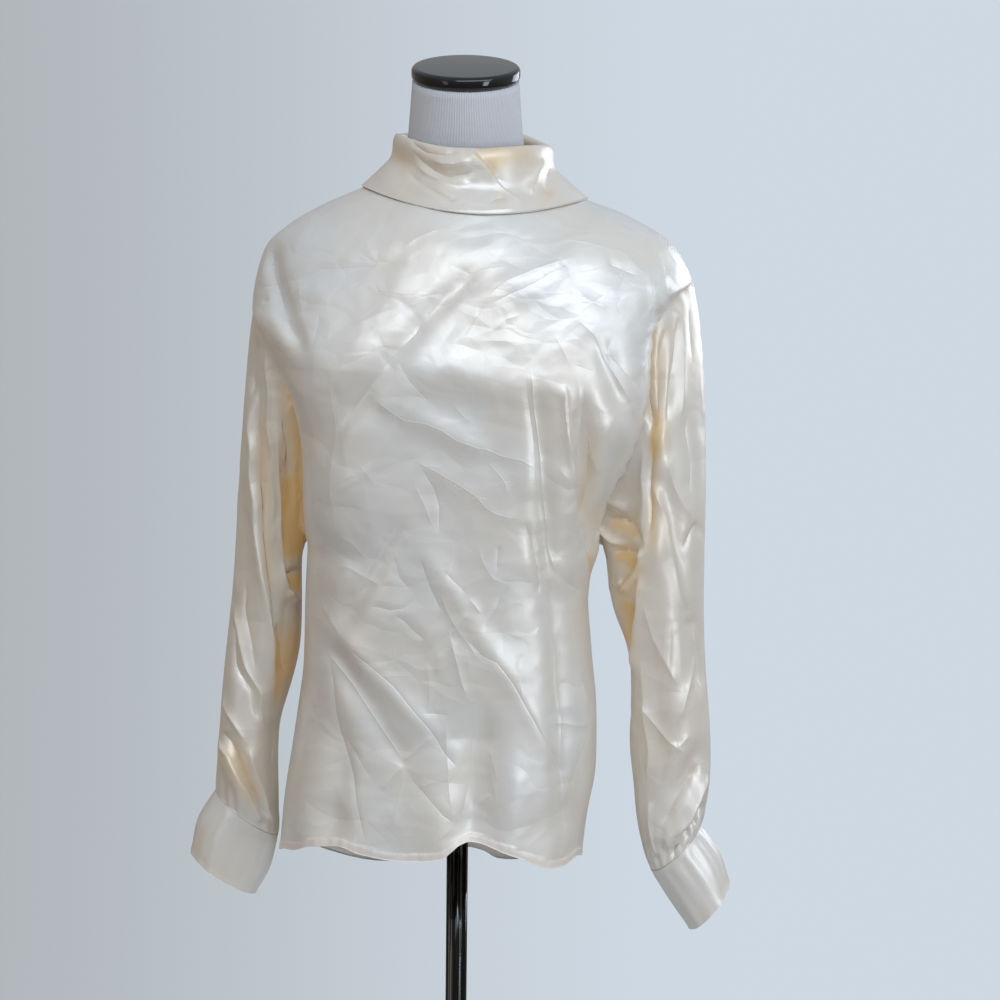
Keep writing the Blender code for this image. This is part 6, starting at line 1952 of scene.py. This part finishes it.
def world_light():
    """A pale backdrop for the camera, painted darker to the left and lighter to the right as painted shade,
    and a soft room for every other ray.
    """
    world = bpy.data.worlds.new("studio")
    bpy.context.scene.world = world
    world.use_nodes = True
    nodes = Nodes(world.node_tree)
    x, y, z = nodes.parts(nodes.place("Generated"))
    # Painted shade on the backdrop: darker to the left, lighter to the right.
    wall = nodes.mix(x.over(-0.32, 0.12), BACKDROP_LEFT, BACKDROP_RIGHT)
    room = nodes.mix(x.over(-0.9, 0.9), ROOM_LEFT, ROOM_RIGHT)
    room = nodes.mix(y.over(-0.2, -0.9), room, ROOM_FRONT)
    room = nodes.mix(z.over(0.0, -0.5), room, ROOM_FLOOR)
    room = nodes.mix(z.over(0.15, 0.75), room, ROOM_CEILING)
    seen = nodes.add("ShaderNodeLightPath", None, None, "Is Camera Ray")
    colour = nodes.mix(seen, room, wall)
    shader = nodes.add("ShaderNodeBackground", None, {"Color": colour, "Strength": 1.0})
    nodes.add("ShaderNodeOutputWorld", None, {"Surface": shader})


class BLOUSE_OT_stage(Operator):
    """Set the floor, the soft lights and the camera"""

    bl_idname = "blouse.stage"
    bl_label = "Stage"

    def execute(self, context):
        chosen = context.scene.blouse_stage
        material, nodes = new_material("pale_floor")
        finish_material(nodes, {"Base Color": rgb(0.62, 0.63, 0.64), "Roughness": 0.8})
        edge = angles_round(FLOOR_SIDES)
        ring = np.stack([np.cos(edge), np.sin(edge), edge * 0], axis=1) * chosen.floor_radius / CM
        ring[:, 2] = -FLOOR_DROP
        floor = mesh_object("floor", ring, [list(range(len(ring)))], material, smooth=False)
        lights = [area_light(*light, getattr(chosen, light[0] + "_power")) for light in LIGHTS]
        world_light()
        context.scene.view_settings.view_transform = "Standard"
        data = bpy.data.cameras.new("camera")
        data.lens = chosen.focal_length
        data.sensor_width = SENSOR_WIDTH
        camera = bpy.data.objects.new("camera", data)
        pitch, roll = math.radians(CAMERA_PITCH), math.radians(CAMERA_ROLL)
        turn = Matrix.Rotation(math.pi / 2 - pitch, 4, "X") @ Matrix.Rotation(roll, 4, "Z")
        camera.matrix_world = Matrix.Translation(CAMERA_PLACE) @ turn
        context.scene.collection.objects.link(camera)
        context.scene.camera = camera
        return {"FINISHED"}


class BLOUSE_PT_panel(Panel):
    """The sidebar's list of steps"""

    bl_label = "Silk Blouse"
    bl_idname = "BLOUSE_PT_panel"
    bl_space_type = "VIEW_3D"
    bl_region_type = "UI"
    bl_category = "Blouse"

    def draw(self, context):
        scene = context.scene
        for settings in (scene.blouse_cloth, scene.blouse_form, scene.blouse_stage):
            box = self.layout.box()
            for name in settings.bl_rna.properties.keys():
                if name not in ("rna_type", "name"):
                    box.prop(settings, name)
        for operator in OPERATORS:
            self.layout.operator(operator.bl_idname)


OPERATORS = (
    BLOUSE_OT_body,
    BLOUSE_OT_sleeves,
    BLOUSE_OT_cuffs,
    BLOUSE_OT_collar,
    BLOUSE_OT_form,
    BLOUSE_OT_stage,
)
SETTINGS = {
    "blouse_cloth": ClothSettings,
    "blouse_form": FormSettings,
    "blouse_stage": StageSettings,
}


def register():
    for item in (*SETTINGS.values(), *OPERATORS, BLOUSE_PT_panel):
        bpy.utils.register_class(item)
    for name, group in SETTINGS.items():
        setattr(bpy.types.Scene, name, PointerProperty(type=group))


def unregister():
    for name in SETTINGS:
        delattr(bpy.types.Scene, name)
    for item in (BLOUSE_PT_panel, *reversed(OPERATORS), *SETTINGS.values()):
        bpy.utils.unregister_class(item)


def main():
    register()
    bpy.ops.blouse.body()
    bpy.ops.blouse.sleeves()
    bpy.ops.blouse.cuffs()
    bpy.ops.blouse.collar()
    bpy.ops.blouse.form()
    bpy.ops.blouse.stage()


if __name__ == "__main__":
    main()
